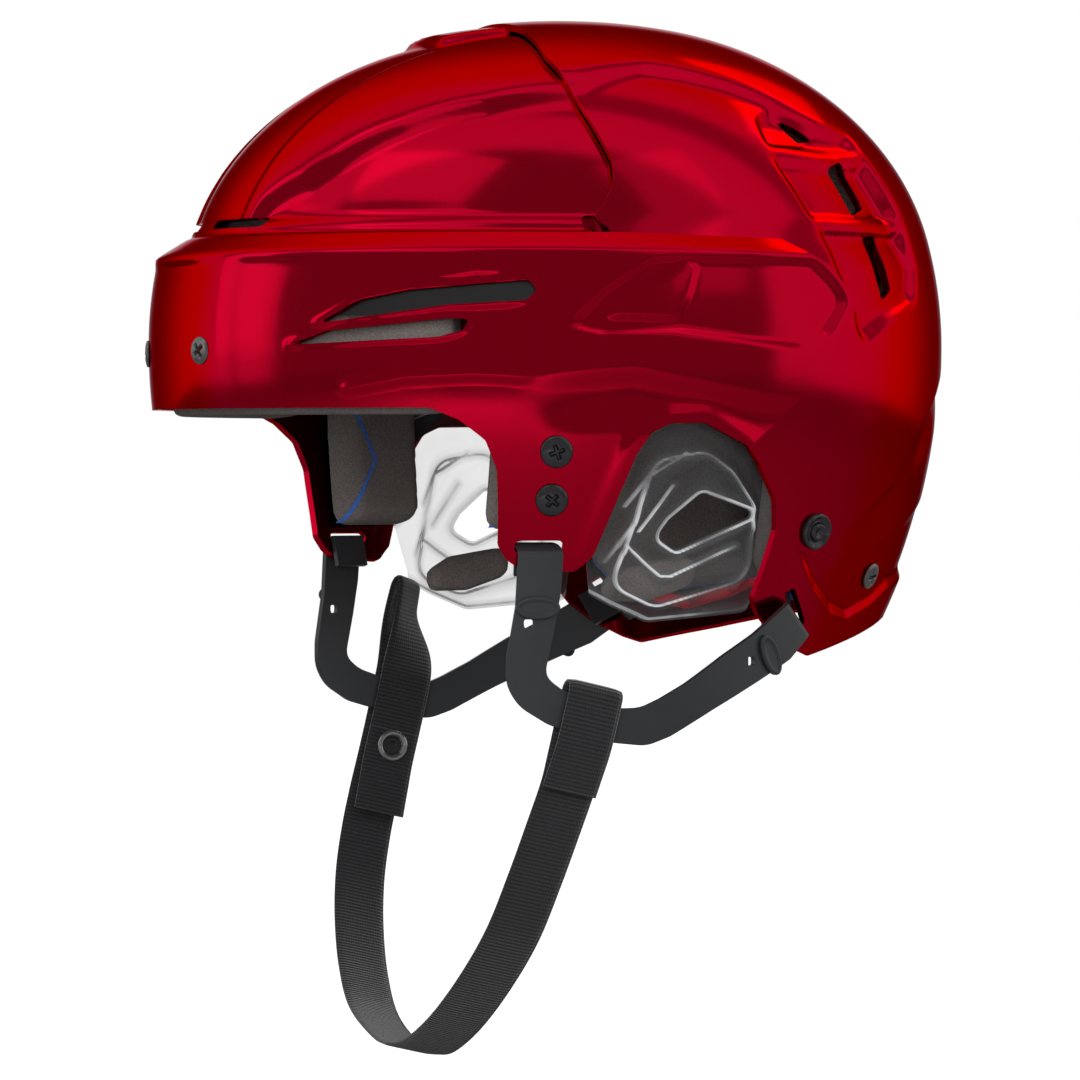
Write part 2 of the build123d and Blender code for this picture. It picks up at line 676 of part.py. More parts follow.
# Chin strap: webbing in a tilted plane. In the plane, x runs from the near bar to the far one and y runs down.
near_bar = Vector(*strip_plane(bar_y, bar_z).origin)
far_bar = Vector(*strip_plane(far_bar_y, far_bar_z).origin)
far_bar = Vector(-far_bar.X, far_bar.Y, far_bar.Z)
span = (far_bar - near_bar).length
across_way = (far_bar - near_bar).normalized()
down_way = Vector(0, -sin(radians(strap_tilt)), -cos(radians(strap_tilt)))
strap_plane = Plane(origin=near_bar, x_dir=across_way, z_dir=across_way.cross(down_way))
layer_reach = strip_wall / 2 + wrap_gap + web_wall / 2
fold_top = bar_half_height + wrap_gap + web_wall / 2


def webbing(points, radius):
    """A piece of webbing whose middle line runs through points of the strap plane."""
    with BuildPart() as ribbon:
        with BuildSketch(strap_plane):
            with BuildLine():
                FilletPolyline(*points, radius=radius)
            trace(line_width=web_wall)
        extrude(amount=web_width / 2, both=True)
    return ribbon


write(webbing([(-layer_reach / 2, tail_drop), (-layer_reach, wrap_end), (-layer_reach, -fold_top),
               (layer_reach, -fold_top), (layer_reach, wrap_end)], bend_radius), "left_wrap")
outer_x, inner_x = span + layer_reach, span - layer_reach
hanging = [(layer_reach, wrap_end + web_wall)] + [(span * x, strap_drop * y) for x, y in strap_shares]
write(webbing([*hanging, (outer_x, cap_drop + cap_radius), (outer_x, wrap_end)], strap_bend), "chin_strap")
write(webbing([(outer_x, wrap_end - web_wall), (outer_x, 0), (outer_x + fold_spread, -fold_rise),
               (inner_x + web_wall, -fold_rise), (inner_x, -fold_top), (inner_x, wrap_end - web_wall)],
              bend_radius), "right_loop")
write(webbing([(inner_x, flap_start), (inner_x, cap_drop + cap_radius), (inner_x - flap_lean,
               flap_start + flap_drop)], bend_radius), "snap_flap")

# Snap on the flap: a cap and a socket on the flap, and a stud and its post on the strap.
snap_face = Plane(origin=strap_plane.from_local_coords(Vector(inner_x, cap_drop, 0)),
                  x_dir=strap_plane.y_dir, z_dir=-strap_plane.x_dir)
snap_span = outer_x - inner_x
with BuildPart() as snap_cap:
    with BuildSketch(snap_face.offset(web_wall / 2)):
        Circle(cap_radius)
    extrude(amount=cap_height)
write(snap_cap, "snap_cap")
with BuildPart() as snap_socket:
    with BuildSketch(snap_face.offset(-web_wall / 2 - socket_height)):
        Circle(socket_radius)
        Circle(socket_bore_radius, mode=Mode.SUBTRACT)
    extrude(amount=socket_height)
write(snap_socket, "snap_socket")
with BuildPart() as snap_stud:
    with BuildSketch(snap_face.offset(web_wall / 2 - snap_span)):
        Circle(socket_radius)
    extrude(amount=stud_base_wall)
    with BuildSketch(snap_face.offset(web_wall / 2 - snap_span)):
        Circle(knob_radius)
    extrude(amount=knob_height)
write(snap_stud, "snap_stud")
with BuildPart() as snap_post:
    with BuildSketch(snap_face.offset(-web_wall / 2 - snap_span)):
        Circle(socket_radius)
    extrude(amount=-stud_base_wall / 2)
write(snap_post, "snap_post")
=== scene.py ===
import bpy
import math
import numpy as np
from mathutils import Matrix, Vector
from mathutils.bvhtree import BVHTree


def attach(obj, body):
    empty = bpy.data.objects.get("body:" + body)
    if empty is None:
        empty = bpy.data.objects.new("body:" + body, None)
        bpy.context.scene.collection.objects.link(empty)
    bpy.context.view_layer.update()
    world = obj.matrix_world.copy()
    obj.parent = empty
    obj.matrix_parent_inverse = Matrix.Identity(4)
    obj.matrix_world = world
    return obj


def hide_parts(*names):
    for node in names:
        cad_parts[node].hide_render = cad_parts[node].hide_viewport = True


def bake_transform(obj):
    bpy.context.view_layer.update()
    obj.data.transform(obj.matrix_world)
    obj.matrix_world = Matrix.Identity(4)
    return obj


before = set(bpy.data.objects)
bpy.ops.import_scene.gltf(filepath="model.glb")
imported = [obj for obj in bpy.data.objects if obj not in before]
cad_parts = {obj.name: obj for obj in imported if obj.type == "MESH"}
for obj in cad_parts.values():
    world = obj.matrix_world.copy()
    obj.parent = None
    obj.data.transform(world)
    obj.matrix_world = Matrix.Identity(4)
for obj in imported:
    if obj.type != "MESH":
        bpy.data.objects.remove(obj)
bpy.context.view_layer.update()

MM = 0.001
# Head form, in millimetres: arcs turned about Z, then stretched along Y.
HALF_WIDTH, HALF_LENGTH, BROW_LENGTH, CROWN_RISE, WIDEST_Z = 105.0, 133.0, 136.5, 110.7, 20.0
SIDE_BEND, SHOULDER_BEND, TOP_BEND, SKIRT_BEND, SKIRT_DROP = 170.0, 93.0, 145.0, 259.0, 125.0
# A form is the middle of its stretch along Y, and the stretch.
HEAD_FORM = (8.0, HALF_LENGTH / HALF_WIDTH)
BROW_FORM = (4.5, BROW_LENGTH / HALF_WIDTH)
SHELL_WALL, SHELL_EDGE, SHELL_GAP, CROWN_GAP = 2.4, 1.0, 1.8, 1.2
STEP_Z = 55.0

# Side-view outlines and places, front to back and up.
BAND = [(-150, -2), (-75, -2), (-66, -6), (-58, -12.5), (-54, -22), (-52.5, -38), (-52, -46.1),
        (-48.9, -51), (-45, -53.5), (-27, -55), (-21.9, -50), (-15.7, -32), (-10, -17), (-5.1, -10),
        (1.5, -7), (13.6, -6.8), (30.1, -14.5), (38, -9), (50.9, 2.5), (63.4, 17.5), (75, 34), (60, 46.1),
        (44.7, 54.2), (14.5, 54.8), (-23.9, 54.8), (-23.9, 60.3), (4, 60.3), (4, 150), (-150, 150)]
REAR = [(-19.9, 150), (-19.9, 127), (-21.9, 115), (-18, 102), (-14, 88), (-11.4, 79), (-12, 72),
        (-17, 63.5), (-21, 59.9), (-15.5, 56), (-15.5, 40), (2.7, 40), (2.7, -3.3), (15, -3), (29, -11),
        (36.7, -20.4), (44, -32), (45.4, -42), (42, -56.5), (39.5, -65), (42.6, -70), (50, -76.5),
        (60, -82), (66, -84.2), (90, -78.5), (110, -73), (150, -69), (150, 150)]
UPPER_VENT = [(-105.5, 25.2), (-95, 32.5), (-80.5, 35.8), (-45, 39), (-42.3, 35.8), (-46, 32.4),
              (-69.4, 31)]
LOWER_VENT = [(-112.5, 18.4), (-103, 22.8), (-69.6, 26.6), (-63, 26.3), (-65.2, 22.7), (-72.4, 20.6)]
REAR_VENTS = [[(54, 95), (62.5, 92), (71, 87.5), (63, 86.8)],
              [(72.6, 78.3), (79.4, 81), (88, 65.4), (81, 62.5)],
              [(83.5, 55.5), (90.2, 56.2), (95.5, 38), (90.2, 34.2)]]
GUARD = [(-18.7, -5.5), (-18.7, -38.5), (-26.5, -43), (-27.5, -57.5), (-10, -66.5), (3.1, -72),
         (40, -69), (48.9, -58), (50, -30), (42, -13.9), (28.1, -1), (0, 2)]
PLATEAU = [(-2, -18.5), (17, -15.5), (27, -22), (36, -33), (37, -58), (3.1, -67.5), (-13.6, -60),
           (-9.4, -46.1)]
EAR_HOLE = [(5.5, -38.3), (16.4, -29.4), (34.4, -35.5), (34.8, -37.6), (9.2, -48.5), (1.5, -43.9)]
BROW_PAD = [(-140, -4.4), (-66.5, -4.4), (-66.5, 42), (-140, 42)]
TEMPLE_PAD = [(-51, 40), (-51, -42), (-19.9, -42), (-18.6, 0), (-18.6, 40)]
STRIPE = [(-43.8, 2.2), (-34.8, -18.5), (-48.5, -42)]
FRONT_CROWN_PAD = [(-106.4, 46.5), (-8, 46.5), (-8, 143.9), (-106.4, 143.9)]
REAR_CROWN_PAD = [(13.3, 49.8), (110.4, 49.8), (110.4, 143.9), (13.3, 143.9)]
GUARD_PAD = [(-12, -65.6), (-13, -59), (-4, -54), (19, -50.5), (20, -60), (3, -65.4)]
REAR_SIDE_PAD = [(52, 29.9), (52, -30), (51.2, -55.4), (60, -66.4), (79.8, -64.8), (103.7, -60),
                 (103.7, 29.9)]
OCCIPITAL_PAD = [(79.8, -64.2), (159.6, -64.2), (159.6, 44.3), (79.8, 44.3)]
LOOP = [(-46.4, -45.4), (-47.5, -66), (-50.3, -83), (-50.3, -91.7), (-46.2, -98.4), (-36.8, -104.3),
        (-16, -110.1), (-4.5, -111.3), (4, -108.4), (20.3, -100), (52.9, -84.5), (65.2, -74.4),
        (53.5, -65.3), (37.5, -75.6), (24.7, -82.4), (10.2, -91.2), (0.3, -96.2), (-6.3, -98.9),
        (-14.9, -99), (-32.7, -92.9), (-38.4, -88.4), (-35.2, -73.2), (-33.2, -61.4), (-32.1, -45.4)]
PEG_HOLES, PEG_HALF = [(-43.4, -71.5), (35.8, -84.6)], 1.4
# Each button's place and the lean of its long way.
BUTTONS = [(-40.3, -66.4, 0), (42.8, -82.8, 119)]
LOOP_BEND, LOOP_X, LOOP_Y, STRIP_WALL = 127.5, -26.6, -6.5, 2.2
# Where a loop's arms go through the shells: the front slot, and the rear slot with its lean.
FRONT_SLOT = [(-46.6, -48.8), (-31.8, -48.8), (-31.8, -44.8), (-46.6, -44.8)]
REAR_SLOT_AT, REAR_SLOT_LEAN, REAR_SLOT_HALF = (57.1, -68.0), math.radians(29), (2.0, 6.9)


# ---- Form ----
def form_arcs():
    """The four arcs of the head form as (centre r, centre z, radius, first and last direction)."""
    side = np.array([HALF_WIDTH - SIDE_BEND, WIDEST_Z])
    top = np.array([0.0, WIDEST_Z + CROWN_RISE - TOP_BEND])
    gap = top - side
    reach = np.hypot(*gap)
    near, far = SIDE_BEND - SHOULDER_BEND, TOP_BEND - SHOULDER_BEND
    along = (near ** 2 - far ** 2 + reach ** 2) / (2 * reach)
    across = math.sqrt(near ** 2 - along ** 2)
    way = gap / reach
    shoulder = side + way * along + np.array([-way[1], way[0]]) * across
    low = math.degrees(math.atan2(*(shoulder - side)[::-1]))
    high = math.degrees(math.atan2(*(shoulder - top)[::-1]))
    foot = -math.degrees(math.asin(SKIRT_DROP / SKIRT_BEND))
    return [(0.0, top[1], TOP_BEND, 90.0, high),
            (shoulder[0], shoulder[1], SHOULDER_BEND, high, low),
            (side[0], side[1], SIDE_BEND, low, 0.0),
            (HALF_WIDTH - SKIRT_BEND, WIDEST_Z, SKIRT_BEND, 0.0, foot)]


ARCS = form_arcs()
REACHES = np.concatenate([[0.0], np.cumsum([a[2] * math.radians(a[3] - a[4]) for a in ARCS])])
TURNS = np.array([ARCS[0][3]] + [a[4] for a in ARCS])


def profile(reach, grow):
    """Radius and height of the turned form at an arc length down from the crown, grown outwards."""
    turn = np.interp(reach, REACHES, TURNS)
    r, z = np.zeros_like(turn), np.zeros_like(turn)
    for centre_r, centre_z, bend, first, last in ARCS:
        here = (turn <= first + 1e-9) & (turn >= last - 1e-9)
        r = np.where(here, centre_r + (bend + grow) * np.cos(np.radians(turn)), r)
        z = np.where(here, centre_z + (bend + grow) * np.sin(np.radians(turn)), z)
    return r, z


def on_disc(u, v, grow, form):
    """A point of the form from a flat chart about the crown: u to the left, v to the rear."""
    reach = np.hypot(u, v) + 1e-9
    r, z = profile(reach, grow)
    return np.stack([r * u / reach, form[0] + form[1] * r * v / reach, z], -1)


def height_reach(z):
    """Arc length down from the crown at which the form is at height z."""
    reaches = np.linspace(0, REACHES[-1], 2000)
    return float(np.interp(-z, -profile(reaches, 0)[1], reaches))


def rounded(points, radius, steps=5):
    """An outline with its corners rounded, by one radius or by one for each corner."""
    out, n = [], len(points)
    pts = np.array(points, float)
    radii = np.broadcast_to(radius, n)
    for i in range(n):
        a, b, c = pts[i - 1], pts[i], pts[(i + 1) % n]
        la, lc = np.hypot(*(a - b)), np.hypot(*(c - b))
        ua, uc = (a - b) / la, (c - b) / lc
        cos_angle = float(np.clip(ua @ uc, -0.9999, 0.9999))
        cut = min(radii[i] / math.tan(math.acos(cos_angle) / 2), 0.48 * la, 0.48 * lc)
        for t in np.linspace(0, 1, steps):
            out.append(tuple(b + ua * cut * (1 - t) ** 2 + uc * cut * t ** 2))
    return out


def inside(points, y, z):
    """Distance to an outline, positive inside it."""
    pts = np.array(points, float)
    y, z = np.asarray(y, float), np.asarray(z, float)
    best = np.full(y.shape, 1e9)
    within = np.zeros(y.shape, bool)
    for (ay, az), (by, bz) in zip(pts, np.roll(pts, -1, axis=0)):
        dy, dz = by - ay, bz - az
        t = np.clip(((y - ay) * dy + (z - az) * dz) / (dy * dy + dz * dz + 1e-12), 0, 1)
        best = np.minimum(best, np.hypot(y - ay - t * dy, z - az - t * dz))
        crosses = ((az > z) != (bz > z)) & (y < (by - ay) * (z - az) / (bz - az + 1e-12) + ay)
        within ^= crosses
    return np.where(within, best, -best)


def smooth(x, low, high):
    """0 below low, 1 above high, and a smooth rise between."""
    t = np.clip((x - low) / (high - low), 0, 1)
    return t * t * (3 - 2 * t)


def near_line(line, y, z):
    """Distance to an open line in the side view."""
    best = np.full(np.shape(y), np.inf)
    for (ay, az), (by, bz) in zip(line, line[1:]):
        dy, dz = by - ay, bz - az
        t = np.clip(((y - ay) * dy + (z - az) * dz) / (dy ** 2 + dz ** 2), 0, 1)
        best = np.minimum(best, np.hypot(y - ay - t * dy, z - az - t * dz))
    return best


# ---- Trimmed sheets ----
# Within this share of a cell the grid moves to the trim line, and within the second it sits on it.
NEAR_TRIM, ON_TRIM, FURTHEST_MOVE, GENTLEST_SLOPE = 0.34, 0.12, 0.4, 0.05


def trimmed(us, vs, place, keep):
    """A grid of place(u, v), trimmed where keep(points) is negative. Returns u, v and the faces."""
    U, V = np.meshgrid(us, vs, indexing="ij")
    points = place(U, V)
    F = keep(points)
    du, dv = us[1] - us[0], np.gradient(vs)[None, :]
    pu = np.linalg.norm(np.gradient(points, axis=0), axis=-1) + 1e-9
    pv = np.linalg.norm(np.gradient(points, axis=1), axis=-1) + 1e-9
    size = np.minimum(pu, pv)
    for _ in range(2):
        fu, fv = np.gradient(F, axis=0) / pu, np.gradient(F, axis=1) / pv
        slope = fu ** 2 + fv ** 2 + 1e-6
        near = (np.abs(F) < NEAR_TRIM * size) & (slope > GENTLEST_SLOPE)
        step = np.where(near, -F / slope, 0)
        U = U + np.clip(step * fu / pu, -FURTHEST_MOVE, FURTHEST_MOVE) * du
        V = V + np.clip(step * fv / pv, -FURTHEST_MOVE, FURTHEST_MOVE) * dv
        moved = keep(place(U, V))
        F = np.where(near, moved, F)
        snapped = near & (np.abs(F) < ON_TRIM * size)
    F = np.where(snapped, 0.0, F)
    n, m = U.shape
    index = np.full((n, m), -1)
    used = F >= 0
    index[used] = np.arange(used.sum())
    u_list, v_list = list(U[used]), list(V[used])
    faces, cuts, cut_keys = [], [], {}
    for i in range(n - 1):
        i2 = i + 1
        a, b = F[i], F[i2]
        good = (a[:-1] >= 0) & (a[1:] >= 0) & (b[:-1] >= 0) & (b[1:] >= 0)
        some = (a[:-1] > 0) | (a[1:] > 0) | (b[:-1] > 0) | (b[1:] > 0)
        for j in np.nonzero(some)[0]:
            ring = [(i, j), (i2, j), (i2, j + 1), (i, j + 1)]
            if good[j]:
                faces.append([int(index[p]) for p in ring])
                continue
            poly = []
            for p, q in zip(ring, ring[1:] + ring[:1]):
                if F[p] >= 0:
                    poly.append(int(index[p]))
                if F[p] * F[q] < 0:
                    key = (min(p, q), max(p, q))
                    if key not in cut_keys:
                        cut_keys[key] = len(cuts)
                        cuts.append(key)
                    poly.append(-1 - cut_keys[key])
            if len(poly) > 2:
                faces.append(poly)
    base = len(u_list)
    if cuts:
        grid = np.stack([U, V])
        (low_i, low_j), (high_i, high_j) = np.array(cuts).transpose(1, 2, 0)
        low, high = grid[:, low_i, low_j], grid[:, high_i, high_j]
        f_low, f_high = F[low_i, low_j], F[high_i, high_j]
        t = f_low / (f_low - f_high)
        for _ in range(2):
            middle = low + (high - low) * t
            f_middle = keep(place(*middle))
            same = np.sign(f_middle) == np.sign(f_low)
            low, high = np.where(same, middle, low), np.where(same, high, middle)
            f_low, f_high = np.where(same, f_middle, f_low), np.where(same, f_high, f_middle)
            t = np.clip(f_low / (f_low - f_high + 1e-12), 0, 1)
        met_u, met_v = low + (high - low) * t
        u_list += list(met_u)
        v_list += list(met_v)
    faces = [[k if k >= 0 else base - 1 - k for k in f] for f in faces]
    faces = [[k for place_in, k in enumerate(f) if k != f[place_in - 1]] for f in faces]
    return np.array(u_list), np.array(v_list), [f for f in faces if len(f) > 2]


def closed_shell(name, outer, inner, faces, edge=0.0, segments=2):
    """A closed piece from two matching layers of points, in millimetres, with rounded rims."""
    count, faces = len(outer), facing_out(faces, outer, inner)
    seen = dict.fromkeys((a, b) for face in faces for a, b in zip(face, face[1:] + face[:1]))
    rim = [(a, b) for a, b in seen if (b, a) not in seen]
    every = faces + [[k + count for k in reversed(f)] for f in faces]
    piece = solid(name, np.vstack([outer, inner]), every + [[b, a, a + count, b + count] for a, b in rim])
    if edge:
        keys = {(min(ends) + layer, max(ends) + layer) for ends in rim for layer in (0, count)}
        flat = np.zeros(len(piece.data.edges) * 2, int)
        piece.data.edges.foreach_get("vertices", flat)
        weights = piece.data.attributes.new("bevel_weight_edge", "FLOAT", "EDGE")
        pairs = np.sort(flat.reshape(-1, 2), axis=1).tolist()
        weights.data.foreach_set("value", [float(tuple(pair) in keys) for pair in pairs])
        round_edges(piece, "WEIGHT", edge, segments)
    return piece


def sheet(name, us, vs, place, keep, inward, edge=0.0):
    """A trimmed sheet with a wall from place(u, v) to place(u, v, inward)."""
    u, v, faces = trimmed(us, vs, place, keep)
    return closed_shell(name, place(u, v), place(u, v, inward), faces, edge)


def round_edges(piece, method, width, segments=2):
    """Bevel the weighted edges, or those sharper than 50 degrees."""
    bevel = piece.modifiers.new("Rounded edges", "BEVEL")
    bevel.limit_method, bevel.angle_limit = method, math.radians(50)
    bevel.width, bevel.segments, bevel.harden_normals = width * MM, segments, True


def facing_out(faces, outer, inner):
    """Faces turned so that the first layer looks away from the second."""
    f = faces[len(faces) // 2]
    a, b, c = (outer[k] for k in f[:3])
    if np.cross(b - a, c - a) @ (outer[f[0]] - inner[f[0]]) < 0:
        return [list(reversed(g)) for g in faces]
    return faces


def dress(piece, slot, material, *nodes):
    """Give a piece its look and let it stand for its CAD nodes."""
    piece.data.materials.clear()
    piece.data.materials.append(material)
    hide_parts(*nodes)


def finish_piece(piece, body, slot, material, *nodes):
    """Dress a piece and put it on its body."""
    dress(piece, slot, material, *nodes)
    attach(piece, body)


# ---- Small pieces ----
SIDES = (("left", 1), ("right", -1))


def skin_frame(y, z, grow, form):
    """Point, way to the rear, way up and normal of the form at a side-view place, on the left side."""
    reach = height_reach(z)
    for _ in range(4):
        r, at_z = profile(np.array([reach]), grow)
        reach += float(at_z[0] - z)
    r, _ = profile(np.array([reach]), grow)
    short = (y - form[0]) / form[1]
    x = math.sqrt(r[0] ** 2 - short ** 2)
    r_pair, z_pair = profile(np.array([reach - 0.5, reach + 0.5]), grow)
    slope = (r_pair[1] - r_pair[0]) / (z_pair[0] - z_pair[1])
    normal = np.array([x / r[0], short / r[0] / form[1], slope])
    normal /= np.linalg.norm(normal)
    rear = np.cross([0, 0, 1], normal)
    rear /= np.linalg.norm(rear)
    return np.array([x, y, z]), rear, np.cross(normal, rear), normal


def solid(name, points, faces, flat=False):
    """A mesh piece from points in millimetres."""
    mesh = bpy.data.meshes.new(name)
    mesh.from_pydata((np.asarray(points, float) * MM).tolist(), [], faces)
    mesh.validate()
    mesh.polygons.foreach_set("use_smooth", [not flat] * len(mesh.polygons))
    piece = bpy.data.objects.new(name, mesh)
    bpy.context.collection.objects.link(piece)
    return piece


def tube_faces(rows, count):
    """Faces that join rings of count points, row after row, with both ends closed."""
    faces = []
    for row in range(rows - 1):
        low, high = row * count, (row + 1) * count
        for k in range(count):
            j = (k + 1) % count
            faces.append([low + k, low + j, high + j, high + k])
    return faces + [list(reversed(range(count))), [(rows - 1) * count + k for k in range(count)]]


def coordinates(piece):
    """A piece's points in millimetres."""
    flat = np.zeros(len(piece.data.vertices) * 3)
    piece.data.vertices.foreach_get("co", flat)
    return flat.reshape(-1, 3) / MM


def mirrored(piece, name):
    """The same piece for the other side."""
    other = bpy.data.objects.new(name, piece.data.copy())
    bpy.context.collection.objects.link(other)
    other.data.vertices.foreach_set("co", (coordinates(other) * [-MM, MM, MM]).ravel())
    other.data.flip_normals()
    for modifier in piece.modifiers:
        round_edges(other, modifier.limit_method, modifier.width / MM, modifier.segments)
    return other


def joined(name, pieces):
    """Several meshes made one."""
    points, faces = [], []
    for piece in pieces:
        faces += [[len(points) + k for k in p.vertices] for p in piece.data.polygons]
        points += coordinates(piece).tolist()
        bpy.data.objects.remove(piece)
    return solid(name, points, faces)


# ---- Materials ----
def wire(tree, part, socket):
    """Give a socket a reading or a plain value."""
    if isinstance(part, Reading):
        tree.links.new(part.socket, socket)
    elif socket.type == "RGBA" and len(part) == 3:
        socket.default_value = (*part, 1.0)
    else:
        socket.default_value = part


def sum_of(tree, operation, *parts):
    """Parts put through a Math node, in their order."""
    node = tree.nodes.new("ShaderNodeMath")
    node.operation = operation
    for socket, part in zip(node.inputs, parts):
        wire(tree, part, socket)
    return Reading(tree, node.outputs[0])


class Reading:
    """A value in a node tree. Sums on it add Math nodes."""

    def __init__(self, tree, socket):
        self.tree, self.socket = tree, socket

    def math(self, operation, *others):
        return sum_of(self.tree, operation, self, *others)

    def __add__(self, other): return self.math("ADD", other)
    def __radd__(self, other): return sum_of(self.tree, "ADD", other, self)
    def __sub__(self, other): return self.math("SUBTRACT", other)
    def __rsub__(self, other): return sum_of(self.tree, "SUBTRACT", other, self)
    def __mul__(self, other): return self.math("MULTIPLY", other)
    def __rmul__(self, other): return sum_of(self.tree, "MULTIPLY", other, self)
    def __truediv__(self, other): return self.math("DIVIDE", other)

    def between(self, low, high):
        """0 below low and 1 above high, or the other way round where low is the greater."""
        made = Tree(self.tree).node("ShaderNodeMapRange", {"interpolation_type": "SMOOTHSTEP"},
                                    Value=self, From_Min=low, From_Max=high)
        return Reading(self.tree, made.outputs[0])


class Tree:
    """A node tree that any node but a Math node is added to by one method."""

    def __init__(self, tree):
        self.tree = tree

    def node(self, kind, settings=(), **inputs):
        """A node of a kind, with its settings and the values or readings of its sockets."""
        made = self.tree.nodes.new(kind)
        for key, value in dict(settings).items():
            setattr(made, key, value)
        for key, value in inputs.items():
            wire(self.tree, value, made.inputs[key.replace("_", " ")])
        return made

    def read(self, output, kind, settings=(), **inputs):
        """One output of a new node."""
        return Reading(self.tree, self.node(kind, settings, **inputs).outputs[output])


class Finish(Tree):
    """A material built from nodes on Object coordinates or on the piece's own UV map."""

    def __init__(self, name):
        self.material = bpy.data.materials.new(name)
        self.material.use_nodes = True
        super().__init__(self.material.node_tree)
        self.shader = self.tree.nodes["Principled BSDF"]
        self.place = self.read("Object", "ShaderNodeTexCoord")

    def noise(self, scale, detail=3.0, roughness=0.5):
        return self.read("Fac", "ShaderNodeTexNoise", Vector=self.place, Scale=scale, Detail=detail,
                         Roughness=roughness)

    def cells(self, scale):
        return self.read("Distance", "ShaderNodeTexVoronoi", Vector=self.place, Scale=scale)

    def blend(self, factor, first, second):
        """From the first colour to the second."""
        made = self.node("ShaderNodeMix", {"data_type": "RGBA"})
        for socket, part in zip((made.inputs[0], made.inputs[6], made.inputs[7]), (factor, first, second)):
            wire(self.tree, part, socket)
        return Reading(self.tree, made.outputs[2])

    def bump(self, height, strength, distance):
        self.set(Normal=self.read("Normal", "ShaderNodeBump", Height=height, Strength=strength,
                                  Distance=distance))

    def set(self, **inputs):
        for key, value in inputs.items():
            wire(self.tree, value, self.shader.inputs[key.replace("_", " ")])


def darker(colour, share):
    return tuple(part * share for part in colour)


def crimson_shell():
    finish = Finish("Crimson shell")
    drift = finish.noise(9.0, 2.0)
    specks = finish.cells(900.0).between(0.05, 0.02)
    haze = finish.noise(40.0, 5.0, 0.7).between(0.35, 0.8)
    colour = finish.blend(drift, (0.560, 0.0012, 0.022), (0.620, 0.0018, 0.026))
    finish.set(Base_Color=finish.blend(specks * 0.2, colour, (0.7, 0.2, 0.2)), Metallic=1.0,
               Roughness=0.11 + haze * 0.05 + specks * 0.2, Specular_Tint=(0.62, 0.004, 0.05))
    finish.bump(finish.noise(130.0, 2.0) * 0.6 + finish.noise(22.0, 1.0), 0.05, 0.0004)
    return finish.material


def foam(name, dark, light):
    finish = Finish(name)
    grain = finish.cells(1500.0).between(0.2, 0.7)
    cloud = finish.noise(60.0, 4.0)
    finish.set(Base_Color=finish.blend(grain * 0.5 + cloud * 0.4, dark, light), Roughness=0.88,
               Specular_IOR_Level=0.25)
    finish.bump(finish.cells(1300.0) + finish.noise(400.0, 3.0), 0.3, 0.0003)
    return finish.material


def moulded(name, colour, rough):
    finish = Finish(name)
    wear = finish.noise(35.0, 5.0, 0.65)
    finish.set(Base_Color=finish.blend(wear, darker(colour, 0.85), darker(colour, 1.2)),
               Roughness=rough + wear * 0.1)
    finish.bump(finish.noise(700.0, 3.0), 0.12, 0.0002)
    return finish.material


def clear_plastic():
    """Clear moulding with painted highlights: near lines whose distance in millimetres is stored on the mesh,
    its colour turns towards white and it grows more opaque.
    """
    finish = Finish("Clear moulding")
    haze = finish.noise(55.0, 4.0).between(0.4, 0.9)
    graze = finish.read("Facing", "ShaderNodeLayerWeight", Blend=0.35)
    highlight_line_distance = finish.read("Fac", "ShaderNodeAttribute", {"attribute_name": "highlight_line_distance"})
    streak = finish.noise(38.0, 2.0).between(0.36, 0.62)
    # Painted highlight: white, more opaque streaks along the stored highlight lines, and a slightly more
    # opaque band round them.
    bright = highlight_line_distance.between(0.60, 0.25) * (0.12 + streak * 0.88)
    wide = highlight_line_distance.between(2.6, 0.6) * 0.10
    finish.set(Base_Color=finish.blend(bright, (0.13, 0.135, 0.14), (0.72, 0.74, 0.76)),
               Roughness=0.04 + haze * 0.05, IOR=1.5, Specular_IOR_Level=0.9,
               Alpha=0.11 + haze * 0.05 + graze * graze * 0.30 + wide + bright * 0.60)
    finish.bump(finish.noise(28.0, 2.0), 0.15, 0.0006)
    return finish.material


def metal(name, colour, rough):
    finish = Finish(name)
    scratch = finish.noise(420.0, 4.0)
    finish.set(Base_Color=finish.blend(scratch, darker(colour, 0.8), colour), Metallic=0.9,
               Roughness=rough + scratch * 0.12)
    finish.bump(scratch, 0.08, 0.0002)
    return finish.material


RIB_PITCH, THREAD_PITCH = 1.35, 0.95


def webbing_cloth():
    """Woven webbing, with ribs across and threads along, on a UV map in millimetres."""
    finish = Finish("Ribbed webbing")
    chart = finish.read(0, "ShaderNodeUVMap", {"uv_map": "Weave"})
    split = finish.node("ShaderNodeSeparateXYZ", Vector=chart)
    along, across = (Reading(finish.tree, split.outputs[k]) for k in (0, 1))
    rib = (along * 2 * math.pi / RIB_PITCH).math("SINE") * 0.5 + 0.5
    thread = (across * 2 * math.pi / THREAD_PITCH + rib * 1.2).math("SINE") * 0.5 + 0.5
    fuzz = finish.noise(900.0, 3.0)
    finish.set(Base_Color=finish.blend(rib * 0.6 + fuzz * 0.4, (0.006, 0.006, 0.007), (0.026, 0.026, 0.028)),
               Roughness=0.78, Sheen_Weight=0.25, Specular_IOR_Level=0.25)
    finish.bump(rib * 0.8 + thread * 0.35 + fuzz * 0.2, 0.7, 0.0004)
    return finish.material


